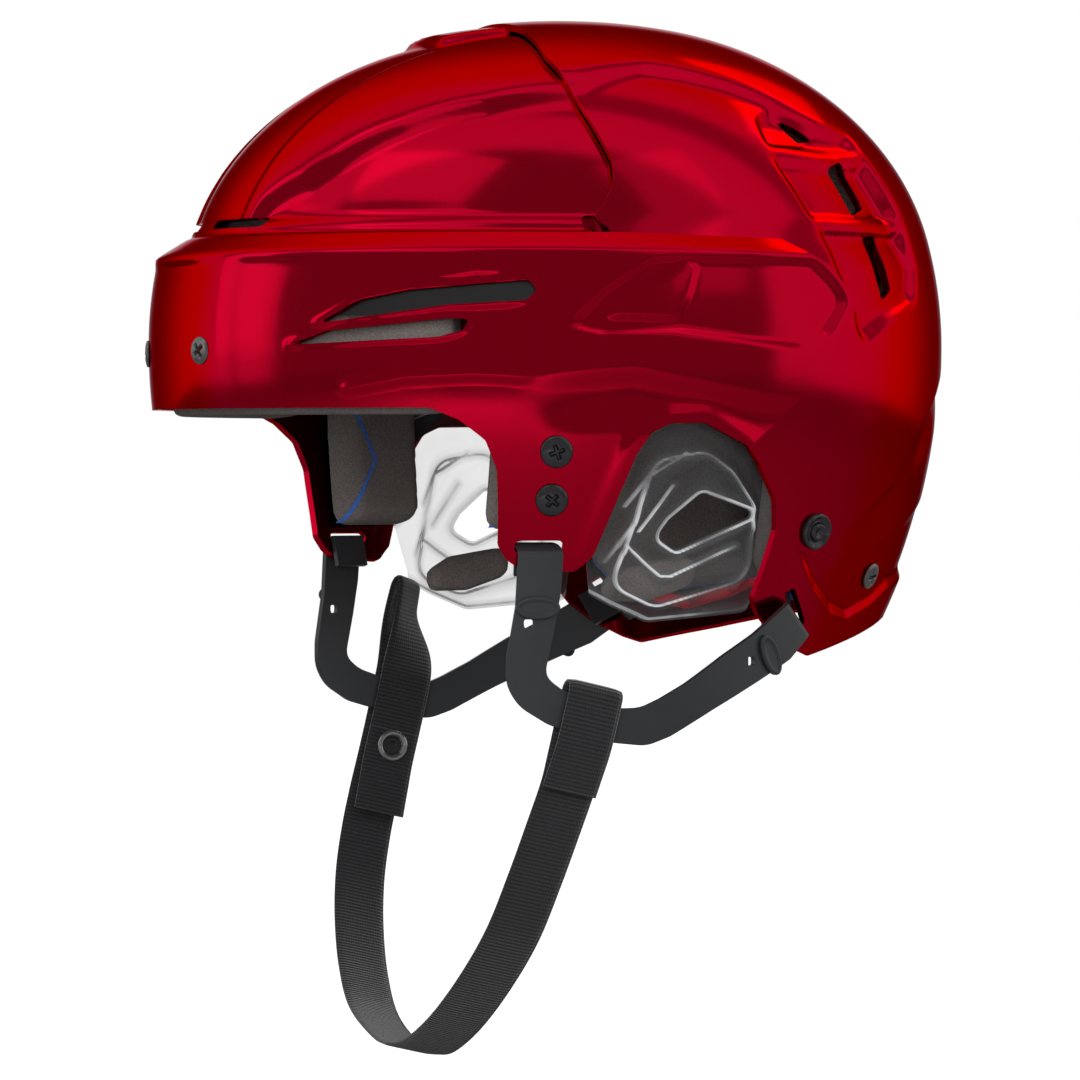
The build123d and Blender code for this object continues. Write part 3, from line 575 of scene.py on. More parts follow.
CRIMSON = crimson_shell()
FOAM = foam("Liner foam", (0.088, 0.077, 0.071), (0.18, 0.158, 0.148))
BLUE = foam("Blue foam", (0.03, 0.09, 0.35), (0.07, 0.17, 0.55))
CLEAR = clear_plastic()
LOOP_GREY = moulded("Satin dark plastic", (0.021, 0.022, 0.024), 0.26)
BLACK = moulded("Gloss black plastic", (0.010, 0.010, 0.011), 0.14)
BLACK_METAL = metal("Black screw", (0.075, 0.075, 0.08), 0.10)
GREY_METAL = metal("Grey screw", (0.20, 0.195, 0.195), 0.22)
DARK_CHROME = metal("Dark chrome", (0.42, 0.42, 0.43), 0.10)
WEBBING = webbing_cloth()
NODE_LOOKS = {"side_screws": BLACK_METAL, "brow_screws": GREY_METAL, "rear_screws": GREY_METAL,
              "side_t_nuts": GREY_METAL, "brow_t_nuts": GREY_METAL, "rear_t_nuts": GREY_METAL,
              "snap_washers": GREY_METAL, "snap_cap": DARK_CHROME, "snap_socket": DARK_CHROME,
              "snap_stud": DARK_CHROME, "snap_post": DARK_CHROME}
for name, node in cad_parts.items():
    node.data.materials.clear()
    node.data.materials.append(NODE_LOOKS.get(name, BLACK))


# ---- Shells ----
BAND_LINE = rounded(BAND, 2.5)
UPPER_LINE = rounded(UPPER_VENT, [0.15, 9, 12, 2, 1.7, 2, 14])
LOWER_LINE = rounded(LOWER_VENT, [0.15, 6, 8, 1.5, 1.5, 6])
CREASE_Y = [-140, -115, -111, -101, -92.6, -71.7, -46.5, -14.6, 9.8, 30.7, 52, 72, 90.3, 99.6, 109, 140]
CREASE_DEPTH = 2.6
CREASE_HIGH = [28, 29, 29.7, 38.9, 44.3, 53.7, 61, 64.8, 61.9, 63.4, 64.5, 64.7, 61, 63, 64.6, 66]
CREASE_LOW = [30, 31, 36, 47, 52, 60, 68.5, 74.6, 68.9, 70.6, 71.4, 74, 70, 70, 70, 72]


def crown_fall(points):
    """How far the crown's sides sit below its raised middle."""
    x, y, z = np.abs(points[..., 0]), points[..., 1], points[..., 2]
    high, low = np.interp(y, CREASE_Y, CREASE_HIGH), np.interp(y, CREASE_Y, CREASE_LOW)
    return CREASE_DEPTH * smooth((x - high) / (low - high), 0, 1) * smooth(z, 44, 62)


def below(line, y, z):
    """Height under an open line that runs from front to rear."""
    pts = np.array(line, float)
    return np.interp(y, pts[:, 0], pts[:, 1]) - z


def near_side(line, y, z):
    """Signed distance to an open line, positive under it."""
    return np.where(below(line, y, z) > 0, 1.0, -1.0) * near_line(line, y, z)


def crown_rise(points):
    """The raised island and the lowered middle strip of the crown panel."""
    x, y = np.abs(points[..., 0]), points[..., 1]
    island = smooth(y, -47, -41) * (1 - smooth(x, 15, 20)) * 3.0
    strip = (1 - smooth(x, 22, 26)) * 1.0
    return island - strip


WING_FACE = rounded([(-33.5, 24), (-20.2, 36.1), (-5.9, 45.3), (5, 48.7), (19, 50.4), (40.4, 51.4),
                     (52, 50), (64, 40), (69.5, 33.5), (61, 22.5), (49.8, 18.2), (33.4, 19.5),
                     (4, 22.8), (-21.4, 21.7)], 9)
WING_FOLD = rounded([(-22, 26.5), (-15.7, 33.6), (8.7, 46.6), (12.4, 44), (9, 34), (4, 26)], 5)
VENT_BED = rounded([(-114, 17.2), (-104.6, 25.8), (-91.8, 35.3), (-61.2, 41.5), (-40.5, 40.6),
                    (-37.5, 33.5), (-55.8, 22.2), (-70.2, 15.8), (-97.2, 14.8)], 12)
EAR_EDGE = [(-21.9, -50), (-15.7, -32), (-10, -17), (-5.1, -10), (1.5, -7), (13.6, -6.8), (30.1, -14.5)]
BROW_RIDGE = [(-97, 4.6), (-81.3, 8.0), (-61.6, 9.0), (-46.7, 8.1)]
LOW_FOLD = [(-60, 9.4), (-46.7, 8.1), (-11.2, 11.1), (18, 5.8), (33.7, 3.0), (60, 1)]


def band_relief(points):
    """Folds and recesses of the band, outwards."""
    x, y, z = np.abs(points[..., 0]), points[..., 1], points[..., 2]
    side = smooth(x, 30, 45)
    plate = np.where(x < 35, -1.3 * (1 - (x / 35) ** 2), -1.0 * smooth(x, 35, 47) * (1 - smooth(x, 52, 80)))
    plate = plate * (1 - smooth(y, -95, -75))
    face = -1.6 * smooth(inside(WING_FACE, y, z), -1.5, 2.0)
    fold = 1.1 * smooth(inside(WING_FOLD, y, z), -0.7, 2.2)
    bed = -1.3 * smooth(inside(VENT_BED, y, z), -1.8, 4.0)
    lips = np.maximum(inside(UPPER_LINE, y, z), inside(LOWER_LINE, y, z))
    lip = 0.7 * smooth(lips, -2.2, -0.8)
    ear = 0.8 * (1 - smooth(near_line(EAR_EDGE, y, z), 2.6, 7.5))
    ridge = 0.9 * (1 - smooth(near_line(BROW_RIDGE, y, z), 0.2, 3.2))
    under = below(LOW_FOLD, y, z)
    low = -1.3 * smooth(under, -0.5, 6.5) * (1 - smooth(under, 8, 22)) * smooth(y, -50, -20)
    return side * (face + fold + bed + lip + ear + ridge + low) + plate


VENT_BAY = rounded([(48, 96.3), (55, 97), (85.5, 89.7), (101.4, 66), (108.2, 46.2), (106.5, 35),
                    (92.1, 29), (78, 20.2), (75.9, 32.1), (69, 44.1), (65.3, 57), (60, 66.1), (50, 83)], 5)
BAY_BARS = [[(48, 84.6), (88, 82.6)], [(61, 59.8), (101, 59.8)]]
NAPE_FOLDS = [[(60, -52), (79.6, -40), (98.8, -26.4), (109.3, -12.7), (140, 20)],
              [(55, -60), (68.8, -54.6), (89.5, -49.2), (107, -42), (140, -25)]]
NAPE_LIP = [(10, -42), (56, -50), (63, -60), (72.2, -67.7), (82.4, -70.7), (96, -66.3), (105.9, -60.5),
            (150, -50)]


def rear_relief(points):
    """Folds and recesses of the rear shell, outwards."""
    y, z = points[..., 1], points[..., 2]
    bay = -2.4 * smooth(inside(VENT_BAY, y, z), -2.2, 2.4)
    bars = np.minimum(near_line(BAY_BARS[0], y, z), near_line(BAY_BARS[1], y, z))
    bridge = 2.1 * (1 - smooth(bars, 1.0, 4.6)) * smooth(inside(VENT_BAY, y, z), -2.2, 2.4)
    first, second = (below(line, y, z) for line in NAPE_FOLDS)
    folds = -1.3 * smooth(first, -1.2, 3.4) * (1 - 0.6 * smooth(first, 6, 20)) * smooth(y, 74, 92)
    folds = folds - 0.7 * smooth(second, -1.2, 3.4) * smooth(y, 64, 84)
    lip = 1.9 * smooth(near_side(NAPE_LIP, y, z), -2.0, 2.0) * smooth(y, 50, 62)
    return bay + bridge + folds + lip


def stepped_profile():
    """Radius and height down the front shell: crown panel, step, band. Returns rows and a table."""
    top = np.linspace(0, height_reach(STEP_Z + 1.2), 400)
    r1, z1 = profile(top, -CROWN_GAP - SHELL_WALL)
    low = np.linspace(height_reach(STEP_Z - 7.4), REACHES[-1] * 0.82, 300)
    r2, z2 = profile(low, SHELL_GAP + SHELL_WALL)
    inner_r, outer_r = r1[-1] + 1.4, r2[0] - 1.1
    slope = [(r1[-1] + 0.5, STEP_Z + 0.4)]
    slope += [(inner_r + (outer_r - inner_r) * t, STEP_Z - 5.4 * t) for t in np.linspace(0, 1, 7)]
    slope += [(r2[0] - 0.35, STEP_Z - 6.2)]
    r = np.concatenate([r1, [p[0] for p in slope], r2])
    z = np.concatenate([z1, [p[1] for p in slope], z2])
    reach = np.concatenate([[0], np.cumsum(np.hypot(np.diff(r), np.diff(z)))])
    return reach, r, z, reach[399], reach[400 + len(slope)]


STEP_REACH, STEP_R, STEP_Z_TABLE, STEP_START, STEP_STOP = stepped_profile()


def on_front(turn, reach, inward=0.0):
    """A point of the front shell: turn about Z from the front, reach down from the crown."""
    (r, z), (r_on, z_on), (r_back, z_back) = (
        [np.interp(reach + ahead, STEP_REACH, table) for table in (STEP_R, STEP_Z_TABLE)]
        for ahead in (0, 0.4, -0.4))
    dr, dz = r_on - r_back, z_on - z_back
    length = np.hypot(dr, dz) + 1e-9
    r, z = r + inward * dz / length, z - inward * dr / length
    return np.stack([r * np.sin(turn), BROW_FORM[0] - BROW_FORM[1] * r * np.cos(turn), z], -1)


def front_place(turn, reach, inward=0.0):
    base = on_front(turn, reach)
    panel = 1 - smooth(reach, STEP_START - 7, STEP_START - 1)
    band = smooth(reach, STEP_STOP, STEP_STOP + 4)
    inward = inward + panel * (crown_fall(base) - crown_rise(base)) - band * band_relief(base)
    return on_front(turn, reach, inward)


# The two slots over the brow, as |x| and z, in the front of the crown panel.
BROW_SLOT_X, BROW_SLOT_Z, BROW_SLOT_END_Y = (7.5, 34.5), (57.6, 60.6), -70
SLOT_LINE = rounded(FRONT_SLOT, 1.4)


def front_keep(points):
    """Positive on the front shell, in millimetres from its nearest edge."""
    x, y, z = points[..., 0], points[..., 1], points[..., 2]
    field = inside(BAND_LINE, y, z)
    for line in (UPPER_LINE, LOWER_LINE):
        field = np.minimum(field, -inside(line, y, z))
    slot = np.minimum(np.abs(x) - BROW_SLOT_X[0], BROW_SLOT_X[1] - np.abs(x))
    slot = np.minimum(slot, np.minimum(z - BROW_SLOT_Z[0], BROW_SLOT_Z[1] - z))
    field = np.minimum(field, np.maximum(-slot, y - BROW_SLOT_END_Y))
    return np.minimum(field, -inside(SLOT_LINE, y, z))


step_rows = [np.linspace(3, STEP_START - 1.2, 74), np.linspace(STEP_START, STEP_STOP, 11),
             np.linspace(STEP_STOP + 1.2, STEP_REACH[-1], 116)]
front_turns = np.linspace(-2.2, 2.2, 400)
finish_piece(sheet("Front_shell", front_turns, np.concatenate(step_rows), front_place, front_keep,
                   SHELL_WALL, SHELL_EDGE), "front", "shell", CRIMSON, "front_shell")

REAR_LINE = rounded(REAR, 2.5)
REAR_VENT_LINES = [rounded(vent, 1.2) for vent in REAR_VENTS]
REAR_SLOT = [(REAR_SLOT_AT[0] + a * math.cos(REAR_SLOT_LEAN) - b * math.sin(REAR_SLOT_LEAN),
              REAR_SLOT_AT[1] + a * math.sin(REAR_SLOT_LEAN) + b * math.cos(REAR_SLOT_LEAN))
             for a, b in ((-REAR_SLOT_HALF[0], -REAR_SLOT_HALF[1]), (REAR_SLOT_HALF[0], -REAR_SLOT_HALF[1]),
                          REAR_SLOT_HALF, (-REAR_SLOT_HALF[0], REAR_SLOT_HALF[1]))]


def rear_keep(points):
    """Positive on the rear shell, in millimetres from its nearest edge."""
    y, z = points[..., 1], points[..., 2]
    field = inside(REAR_LINE, y, z)
    for line in REAR_VENT_LINES + [REAR_SLOT]:
        field = np.minimum(field, -inside(line, y, z))
    return field


def rear_place(a, b, inward=0.0):
    base = on_disc(a, b, 0.0, HEAD_FORM)
    return on_disc(a, b, -inward - crown_fall(base) + rear_relief(base), HEAD_FORM)


chart = np.arange(-290, 290.1, 1.4)
finish_piece(sheet("Rear_shell", chart, chart[chart > -120], rear_place, rear_keep, SHELL_WALL, SHELL_EDGE),
             "rear", "shell", CRIMSON, "rear_shell")


# ---- Liner ----
PAD_GRID, PAD_CORNER, LEAST_WALL_SHARE, SKIN_SINK_SHARE = 2.6, 6, 0.62, 0.12


def pad(label, body, outline, depth, thick, form=HEAD_FORM, middle=None, side=0, material=FOAM, soft=5.0):
    """A foam pad: one layer of the form with a crowned inner face and soft corners.

    A side pad keeps middle away from the middle of the helmet. Any other pad reaches middle to each side.
    """
    line = rounded(outline, PAD_CORNER)
    if middle is None:
        middle = 0.0 if side else np.inf

    def keep(points):
        x, y, z = points[..., 0], points[..., 1], points[..., 2]
        return np.minimum(inside(line, y, z), side * x - middle if side else middle - np.abs(x))

    def place(a, b):
        return on_disc(a, b, -depth, form)

    grid = np.arange(-275, 275.1, PAD_GRID)
    u, v, faces = trimmed(grid[grid * side > -4] if side else grid, grid, place, keep)
    near = np.clip(keep(place(u, v)), 0, None)
    swell = np.sqrt(1 - (1 - np.clip(near / soft, 0, 1)) ** 2)
    wall = thick * (LEAST_WALL_SHARE + (1 - LEAST_WALL_SHARE) * swell)
    inner = on_disc(u, v, -depth - wall, form)
    skin = on_disc(u, v, -depth - SKIN_SINK_SHARE * thick * (1 - swell), form)
    piece = closed_shell(label, skin, inner, faces, 1.2, 3)
    finish_piece(piece, body, "blue_foam" if material is BLUE else "foam", material, label.lower())
    return piece


STRIPE_ENDS, STRIPE_ROWS, STRIPE_HALF, STRIPE_SUNK, STRIPE_PROUD = (0.5, -40.8), 60, 0.75, 2.0, 0.35


def temple_stripe(label, side, temple_pad):
    """The blue line let into a temple pad's inner face, which is found by looking out from the middle."""
    face = BVHTree.FromPolygons([v.co for v in temple_pad.data.vertices],
                                [tuple(p.vertices) for p in temple_pad.data.polygons])
    rows = np.linspace(*STRIPE_ENDS, STRIPE_ROWS)
    ys = np.interp(-rows, [-z for y, z in STRIPE], [y for y, z in STRIPE])
    lines = []
    for depth, shift in ((STRIPE_SUNK, -STRIPE_HALF), (STRIPE_SUNK, STRIPE_HALF),
                         (-STRIPE_PROUD, STRIPE_HALF), (-STRIPE_PROUD, -STRIPE_HALF)):
        starts = [Vector((0, (y + shift) * MM, z * MM)) for y, z in zip(ys, rows)]
        hits = [face.ray_cast(start, Vector((side, 0, 0)))[0] for start in starts]
        x = np.array([hit.x / MM + side * depth if hit else np.nan for hit in hits])
        found = ~np.isnan(x)
        lines.append(np.stack([np.interp(-rows, -rows[found], x[found]), ys + shift, rows], -1))
    rings = np.stack(lines, 1)
    stripe = solid(f"Temple_stripe_{label}", rings.reshape(-1, 3), tube_faces(STRIPE_ROWS, 4), True)
    finish_piece(stripe, "front", "blue_foam", BLUE, f"temple_stripe_{label}")


def liner():
    # Depth under the skin and thickness follow each outline.
    pad("Brow_pad", "front", BROW_PAD, 1.6, 14.8, BROW_FORM)
    pad("Front_crown_pad", "front", FRONT_CROWN_PAD, 6.2, 12.8, middle=51.5)
    pad("Rear_crown_pad", "rear", REAR_CROWN_PAD, 4.7, 14.8, middle=51.5)
    pad("Occipital_pad", "rear", OCCIPITAL_PAD, 4.7, 14.8, middle=33.5)
    for label, side in SIDES:
        temple_pad = pad(f"Temple_pad_{label}", "front", TEMPLE_PAD, 9.5, 11.8, side=side)
        pad(f"Rear_side_pad_{label}", "rear", REAR_SIDE_PAD, 6.0, 13.5, middle=36.5, side=side)
        pad(f"Guard_pad_{label}", "rear", GUARD_PAD, 6.3, 6.6, side=side, soft=3)
        pad(f"Rear_blue_layer_{label}", "rear", REAR_SIDE_PAD, 4.7, 1.0, middle=36.5, side=side,
            material=BLUE, soft=1)
        temple_stripe(label, side, temple_pad)


liner()


# ---- Ear guards ----
GUARD_LINE, PLATEAU_LINE, HOLE_LINE = rounded(GUARD, 7), rounded(PLATEAU, 10, 8), rounded(EAR_HOLE, 3.5, 7)
GUARD_FLOOR, GUARD_CUP, GUARD_WALL, GUARD_GRID, GUARD_EDGE = -4.6, 4.6, 1.4, 0.7, 0.4
RIDGES = [[(-9.2, -46.5), (5.5, -57.5), (30, -47)], [(-6, -38), (4, -24), (14, -19)]]
# Open lines along which highlights are painted on the clear moulding.
HIGHLIGHT_LINES = [[(-9.2, -46.5), (-3, -51.5), (4.0, -56.6), (7.5, -56.8), (30, -47)],
           [(-9, -34), (-3, -24), (10, -16.5)], [(-5, -42), (6, -27)], [(-14, -52), (-7, -40)]]
# How far in from the plateau, the guard's edge and the hole their painted highlight lines run.
HIGHLIGHT_LINE_INSETS = (0.6, 1.2, -0.8)


def guard_grow(y, z):
    """How far the clear moulding stands out from the form."""
    plateau = inside(PLATEAU_LINE, y, z)
    cup = smooth(plateau, -4.5, 1.5)
    rim = 1 - smooth(np.abs(inside(HOLE_LINE, y, z) + 2.2), 0.3, 2.2)
    ridge = 1 - smooth(near_line(RIDGES[0], y, z), 0.4, 2.2)
    fan = 1 - smooth(near_line(RIDGES[1], y, z), 0.4, 2.0)
    dish = smooth(plateau, 3, 14)
    bead = 1 - smooth(np.abs(plateau - 1.6), 0.2, 1.5)
    flange = 1 - smooth(np.abs(inside(GUARD_LINE, y, z) - 1.5), 0.2, 1.5)
    grow = GUARD_FLOOR + GUARD_CUP * cup - 1.5 * dish + 0.9 * rim * cup
    return grow + np.maximum(ridge, fan) * cup + 0.7 * bead + 0.5 * flange


def guard_place(a, b, inward=0.0):
    base = on_disc(a, b, -3.0, HEAD_FORM)
    return on_disc(a, b, guard_grow(base[..., 1], base[..., 2]) - inward, HEAD_FORM)


def guard_keep(points):
    y, z = points[..., 1], points[..., 2]
    return np.minimum(inside(GUARD_LINE, y, z), -inside(HOLE_LINE, y, z))


def ear_guard():
    """The left ear guard, which stores at each point its distance to the nearest painted highlight line."""
    guard = sheet("Ear_guard_left", np.arange(90, 290, GUARD_GRID), np.arange(-60, 80, GUARD_GRID),
                  guard_place, guard_keep, GUARD_WALL, GUARD_EDGE)
    y, z = coordinates(guard)[:, 1:].T
    lines = [np.abs(inside(line, y, z) - inset)
             for line, inset in zip((PLATEAU_LINE, GUARD_LINE, HOLE_LINE), HIGHLIGHT_LINE_INSETS)]
    lines += [near_line(line, y, z) for line in HIGHLIGHT_LINES]
    highlight_line_distance = guard.data.attributes.new("highlight_line_distance", "FLOAT", "POINT")
    highlight_line_distance.data.foreach_set("value", np.min(lines, axis=0))
    return guard


left_guard = ear_guard()
finish_piece(left_guard, "rear", "clear_plastic", CLEAR, "ear_guard_left")
finish_piece(mirrored(left_guard, "Ear_guard_right"), "rear", "clear_plastic", CLEAR, "ear_guard_right")


# ---- Ear loops ----
# The corners in the open are wide, and those in the slots are tight.
LOOP_LINE = rounded(LOOP, [1.5 if z > -50 or y > 50 else 14 for y, z in LOOP], 7)
PEG_LINES = [[(y - PEG_HALF, z - PEG_HALF), (y + PEG_HALF, z - PEG_HALF), (y + PEG_HALF, z + PEG_HALF),
              (y - PEG_HALF, z + PEG_HALF)] for y, z in PEG_HOLES]
ARM_DIP, DIP_RUN, FRONT_DIP_Z, REAR_DIP_START = 6.3, 4.4, -49.8, 3.6
LOOP_TURNS, LOOP_HEIGHTS = np.arange(-0.42, 0.66, 0.0055), np.arange(-114, -43, 0.7)


def strip_place(turn, z, grow=STRIP_WALL / 2):
    """A point of the bent strip, whose two ends dip into the shells' slots."""
    y = LOOP_Y + LOOP_BEND * np.sin(turn)
    front_dip = np.clip((z - FRONT_DIP_Z) / DIP_RUN, 0, 1) ** 2
    into = (y - REAR_SLOT_AT[0]) * 0.72 + (z - REAR_SLOT_AT[1]) * 0.69 + REAR_DIP_START
    rear_dip = np.clip(into / DIP_RUN, 0, 1) ** 2 * (y > 40)
    reach = LOOP_BEND + grow - ARM_DIP * front_dip - ARM_DIP * rear_dip
    return np.stack([LOOP_X + reach * np.cos(turn), LOOP_Y + reach * np.sin(turn), z + 0 * turn], -1)


def strip_keep(points):
    field = inside(LOOP_LINE, points[..., 1], points[..., 2])
    for line in PEG_LINES:
        field = np.minimum(field, -inside(line, points[..., 1], points[..., 2]))
    return field


def tab(name, start, along, across, out, ends):
    """The flat end of a loop behind its slot, between its first and last place along."""
    corners = [start + along * ends[end] + across * half + out * wall for wall in (-2.2, 0)
               for end, half in ((0, -6.3), (1, -6.3), (1, 6.3), (0, 6.3))]
    return solid(name, corners, tube_faces(2, 4), True)


def ear_loop():
    """The left loop: the bent strip and the two tabs that hold it behind the shells."""
    strip = sheet("Loop_strip", LOOP_TURNS, LOOP_HEIGHTS, strip_place, strip_keep, -STRIP_WALL / 2)
    at, rear_way, up_way, out_way = skin_frame(-39.2, -51.2, 1.3, BROW_FORM)
    front_tab = tab("Front_tab", at, up_way, rear_way, out_way, (-5.5, 5.5))
    at, rear_way, up_way, out_way = skin_frame(*REAR_SLOT_AT, -3.1, HEAD_FORM)
    arm_way = rear_way * math.cos(REAR_SLOT_LEAN) + up_way * math.sin(REAR_SLOT_LEAN)
    width_way = up_way * math.cos(REAR_SLOT_LEAN) - rear_way * math.sin(REAR_SLOT_LEAN)
    rear_tab = tab("Rear_tab", at, arm_way, width_way, out_way, (-10.9, 1.1))
    loop = joined("Ear_loop_left", [strip, front_tab, rear_tab])
    round_edges(loop, "ANGLE", 0.5)
    return loop


left_loop = ear_loop()
for piece, (label, side) in zip((left_loop, mirrored(left_loop, "Ear_loop_right")), SIDES):
    dress(piece, "loop_plastic", LOOP_GREY, f"ear_loop_{label}")
    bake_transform(piece)


def oval(long, short, steps=28):
    """An ellipse as points about its middle."""
    turn = np.linspace(0, 2 * math.pi, steps, endpoint=False)
    return [(long * math.cos(t), short * math.sin(t)) for t in turn]


BUTTON_HALF, BUTTON_STEPS = (7.3, 3.8), 28
# Inset and height of each ring of a button's face.
BUTTON_ROWS = [(0, 0), (0, 1.0), (0.2, 1.4), (0.6, 1.6), (1.1, 1.6), (1.5, 1.3), (1.9, 1.1), (2.6, 1.1)]


def oval_button(y, z, lean):
    """An oval rivet head on the left loop, with a raised rim round a dished face."""
    turn = math.asin((y - LOOP_Y) / LOOP_BEND)
    out = np.array([math.cos(turn), math.sin(turn), 0.0])
    rear, up = np.array([-math.sin(turn), math.cos(turn), 0.0]), np.array([0, 0, 1.0])
    at = np.array([LOOP_X, LOOP_Y, z]) + out * (LOOP_BEND + STRIP_WALL / 2)
    t = math.radians(lean)
    along, across = rear * math.cos(t) + up * math.sin(t), up * math.cos(t) - rear * math.sin(t)
    points = [at + along * a + across * b + out * height for inset, height in BUTTON_ROWS
              for a, b in oval(BUTTON_HALF[0] - inset, BUTTON_HALF[1] - inset, BUTTON_STEPS)]
    return solid("Button", points, tube_faces(len(BUTTON_ROWS), BUTTON_STEPS))


for place, node in zip(BUTTONS, ("front_loop_buttons", "rear_loop_buttons")):
    left_button = oval_button(*place)
    both = joined(node.capitalize(), [left_button, mirrored(left_button, "Mirror")])
    finish_piece(both, "front", "loop_plastic", LOOP_GREY, node)


# ---- Screws and snaps ----
def turned(name, rows, count=40, top=None):
    """A closed turned piece about Z from rows of radius and height, its top face sunk by top(x, y)."""
    turns = np.linspace(0, 2 * math.pi, count, endpoint=False)
    points = []
    for radius, height in rows:
        for t in turns:
            x, y = radius * math.cos(t), radius * math.sin(t)
            points.append((x, y, height - (top(x, y) if top and height > 0 else 0)))
    return solid(name, points, tube_faces(len(rows), count))


RECESS_HALF_WIDTH, RECESS_REACH, RECESS_DEPTH = 0.62, 2.5, 1.5


def cross_recess(x, y):
    """Depth of a cross-head recess at a place on a screw head."""
    x, y = abs(x), abs(y)
    arm = min(max(x - RECESS_HALF_WIDTH, (y - RECESS_REACH) * 0.8),
              max(y - RECESS_HALF_WIDTH, (x - RECESS_REACH) * 0.8))
    return RECESS_DEPTH * float(smooth(-arm, -0.25, 0.35))


def repeated(name, unit, places, material):
    """Copies of one piece on points, each turned to its own normal, by Geometry Nodes, then made real."""
    mesh = bpy.data.meshes.new(name)
    mesh.from_pydata([tuple(np.array(at) * MM) for at, out, spin in places], [], [])
    angles = []
    for at, out, spin in places:
        stand = Vector(out).to_track_quat("Z", "Y").to_matrix().to_4x4()
        angles += list((stand @ Matrix.Rotation(math.radians(spin), 4, "Z")).to_euler())
    mesh.attributes.new("stand", "FLOAT_VECTOR", "POINT").data.foreach_set("vector", angles)
    piece = bpy.data.objects.new(name, mesh)
    bpy.context.collection.objects.link(piece)

    group = bpy.data.node_groups.new(name, "GeometryNodeTree")
    group.interface.new_socket("Geometry", in_out="INPUT", socket_type="NodeSocketGeometry")
    size = group.interface.new_socket("Size", in_out="INPUT", socket_type="NodeSocketFloat")
    group.interface.new_socket("Geometry", in_out="OUTPUT", socket_type="NodeSocketGeometry")
    tree = Tree(group)
    given = tree.node("NodeGroupInput")
    source = tree.read("Geometry", "GeometryNodeObjectInfo", Object=unit)
    angle = tree.read("Attribute", "GeometryNodeInputNamedAttribute", {"data_type": "FLOAT_VECTOR"},
                      Name="stand")
    copies = tree.read(0, "GeometryNodeInstanceOnPoints", Points=Reading(group, given.outputs["Geometry"]),
                       Instance=source, Rotation=angle, Scale=Reading(group, given.outputs["Size"]))
    real = tree.read(0, "GeometryNodeRealizeInstances", Geometry=copies)
    dressed = tree.read(0, "GeometryNodeSetMaterial", Geometry=real, Material=material)
    tree.node("NodeGroupOutput", Geometry=dressed)

    modifier = piece.modifiers.new("Copies", "NODES")
    modifier.node_group = group
    modifier[size.identifier] = 1.0
    piece.data = bpy.data.meshes.new_from_object(piece.evaluated_get(bpy.context.evaluated_depsgraph_get()))
    piece.modifiers.clear()
    bpy.data.objects.remove(unit)
    return piece


def screw(radius, height, shank):
    """A domed cross-head screw, 22 rings from its rim to its middle."""
    shares = np.linspace(1, 0, 22)[:-1]
    dome = [(radius * t, 0.5 + (height - 0.5) * math.sqrt(1 - (t * 0.985) ** 2)) for t in shares]
    stem = [(2.2, -shank), (2.2, 0), (radius, 0.02), (radius, 0.3)]
    return turned("Screw", stem + dome + [(0.05, height)], 64, cross_recess)


# Place, normal and spin of each screw on the left side.
SIDE_SCREWS = [((102.076, -35.91, -16.162), (0.9641, -0.2258, -0.1398), 20),
               ((99.201, -36.442, -31.66), (0.9518, -0.2325, -0.1999), 50)]
BROW_SCREWS = [((28.24, -131.76, 17), (0.3316, -0.9433, -0.0145), 35)]
*_, rear_normal = skin_frame(94.164, -58.118, 0, HEAD_FORM)
REAR_SCREWS = [(np.array([63.327, 94.164, -58.118]) - 1.2 * rear_normal, rear_normal, 10)]
# Head radius, head height and shank.
SIDE_SCREW_SIZE, SMALL_SCREW_SIZE = (5.3, 2.3, 9.0), (4.5, 1.5, 8.0)
for node, body, slot, material, size, spots in (
        ("side_screws", "front", "black_metal", BLACK_METAL, SIDE_SCREW_SIZE, SIDE_SCREWS),
        ("brow_screws", "front", "steel", GREY_METAL, SMALL_SCREW_SIZE, BROW_SCREWS),
        ("rear_screws", "rear", "steel", GREY_METAL, SMALL_SCREW_SIZE, REAR_SCREWS)):
    both = spots + [((-at[0], at[1], at[2]), (-out[0], out[1], out[2]), -spin) for at, out, spin in spots]
    finish_piece(repeated(node.capitalize(), screw(*size), both, material), body, slot, material, node)

# Turned sections, from the foot up and over: radius and height.
STRAP_SNAP = [(1.9, -3.5), (1.9, -0.4), (6.1, -0.3), (6.2, 0.5), (6.0, 1.5), (5.5, 1.9), (5.0, 1.7),
              (4.5, 0.8), (3.4, 0.5), (3.1, 0.9), (2.9, 1.9), (2.5, 2.3), (1.7, 2.2), (1.2, 1.4), (0.05, 1.2)]
CAP_RING = [(3.1, 0.0), (5.55, 0.0), (5.6, 0.6), (5.45, 1.2), (5.0, 1.55), (4.4, 1.6), (3.9, 1.35),
            (3.6, 0.9), (3.4, 0.3), (3.1, 0.25)]
CAP_CENTRE = [(3.4, 0.02), (3.4, 0.3), (3.0, 0.55), (2.2, 0.65), (1.7, 0.5), (1.2, 0.85), (0.05, 0.9)]
snap_at, _, _, snap_normal = skin_frame(61.7, -42.2, 0, HEAD_FORM)
for label, side in SIDES:
    flip = np.array([side, 1, 1])
    stud = repeated(f"Strap_snap_{label}", turned("Stud", STRAP_SNAP, 56),
                    [(snap_at * flip, snap_normal * flip, 0)], BLACK_METAL)
    finish_piece(stud, "rear", "black_metal", BLACK_METAL, f"strap_snap_{label}")


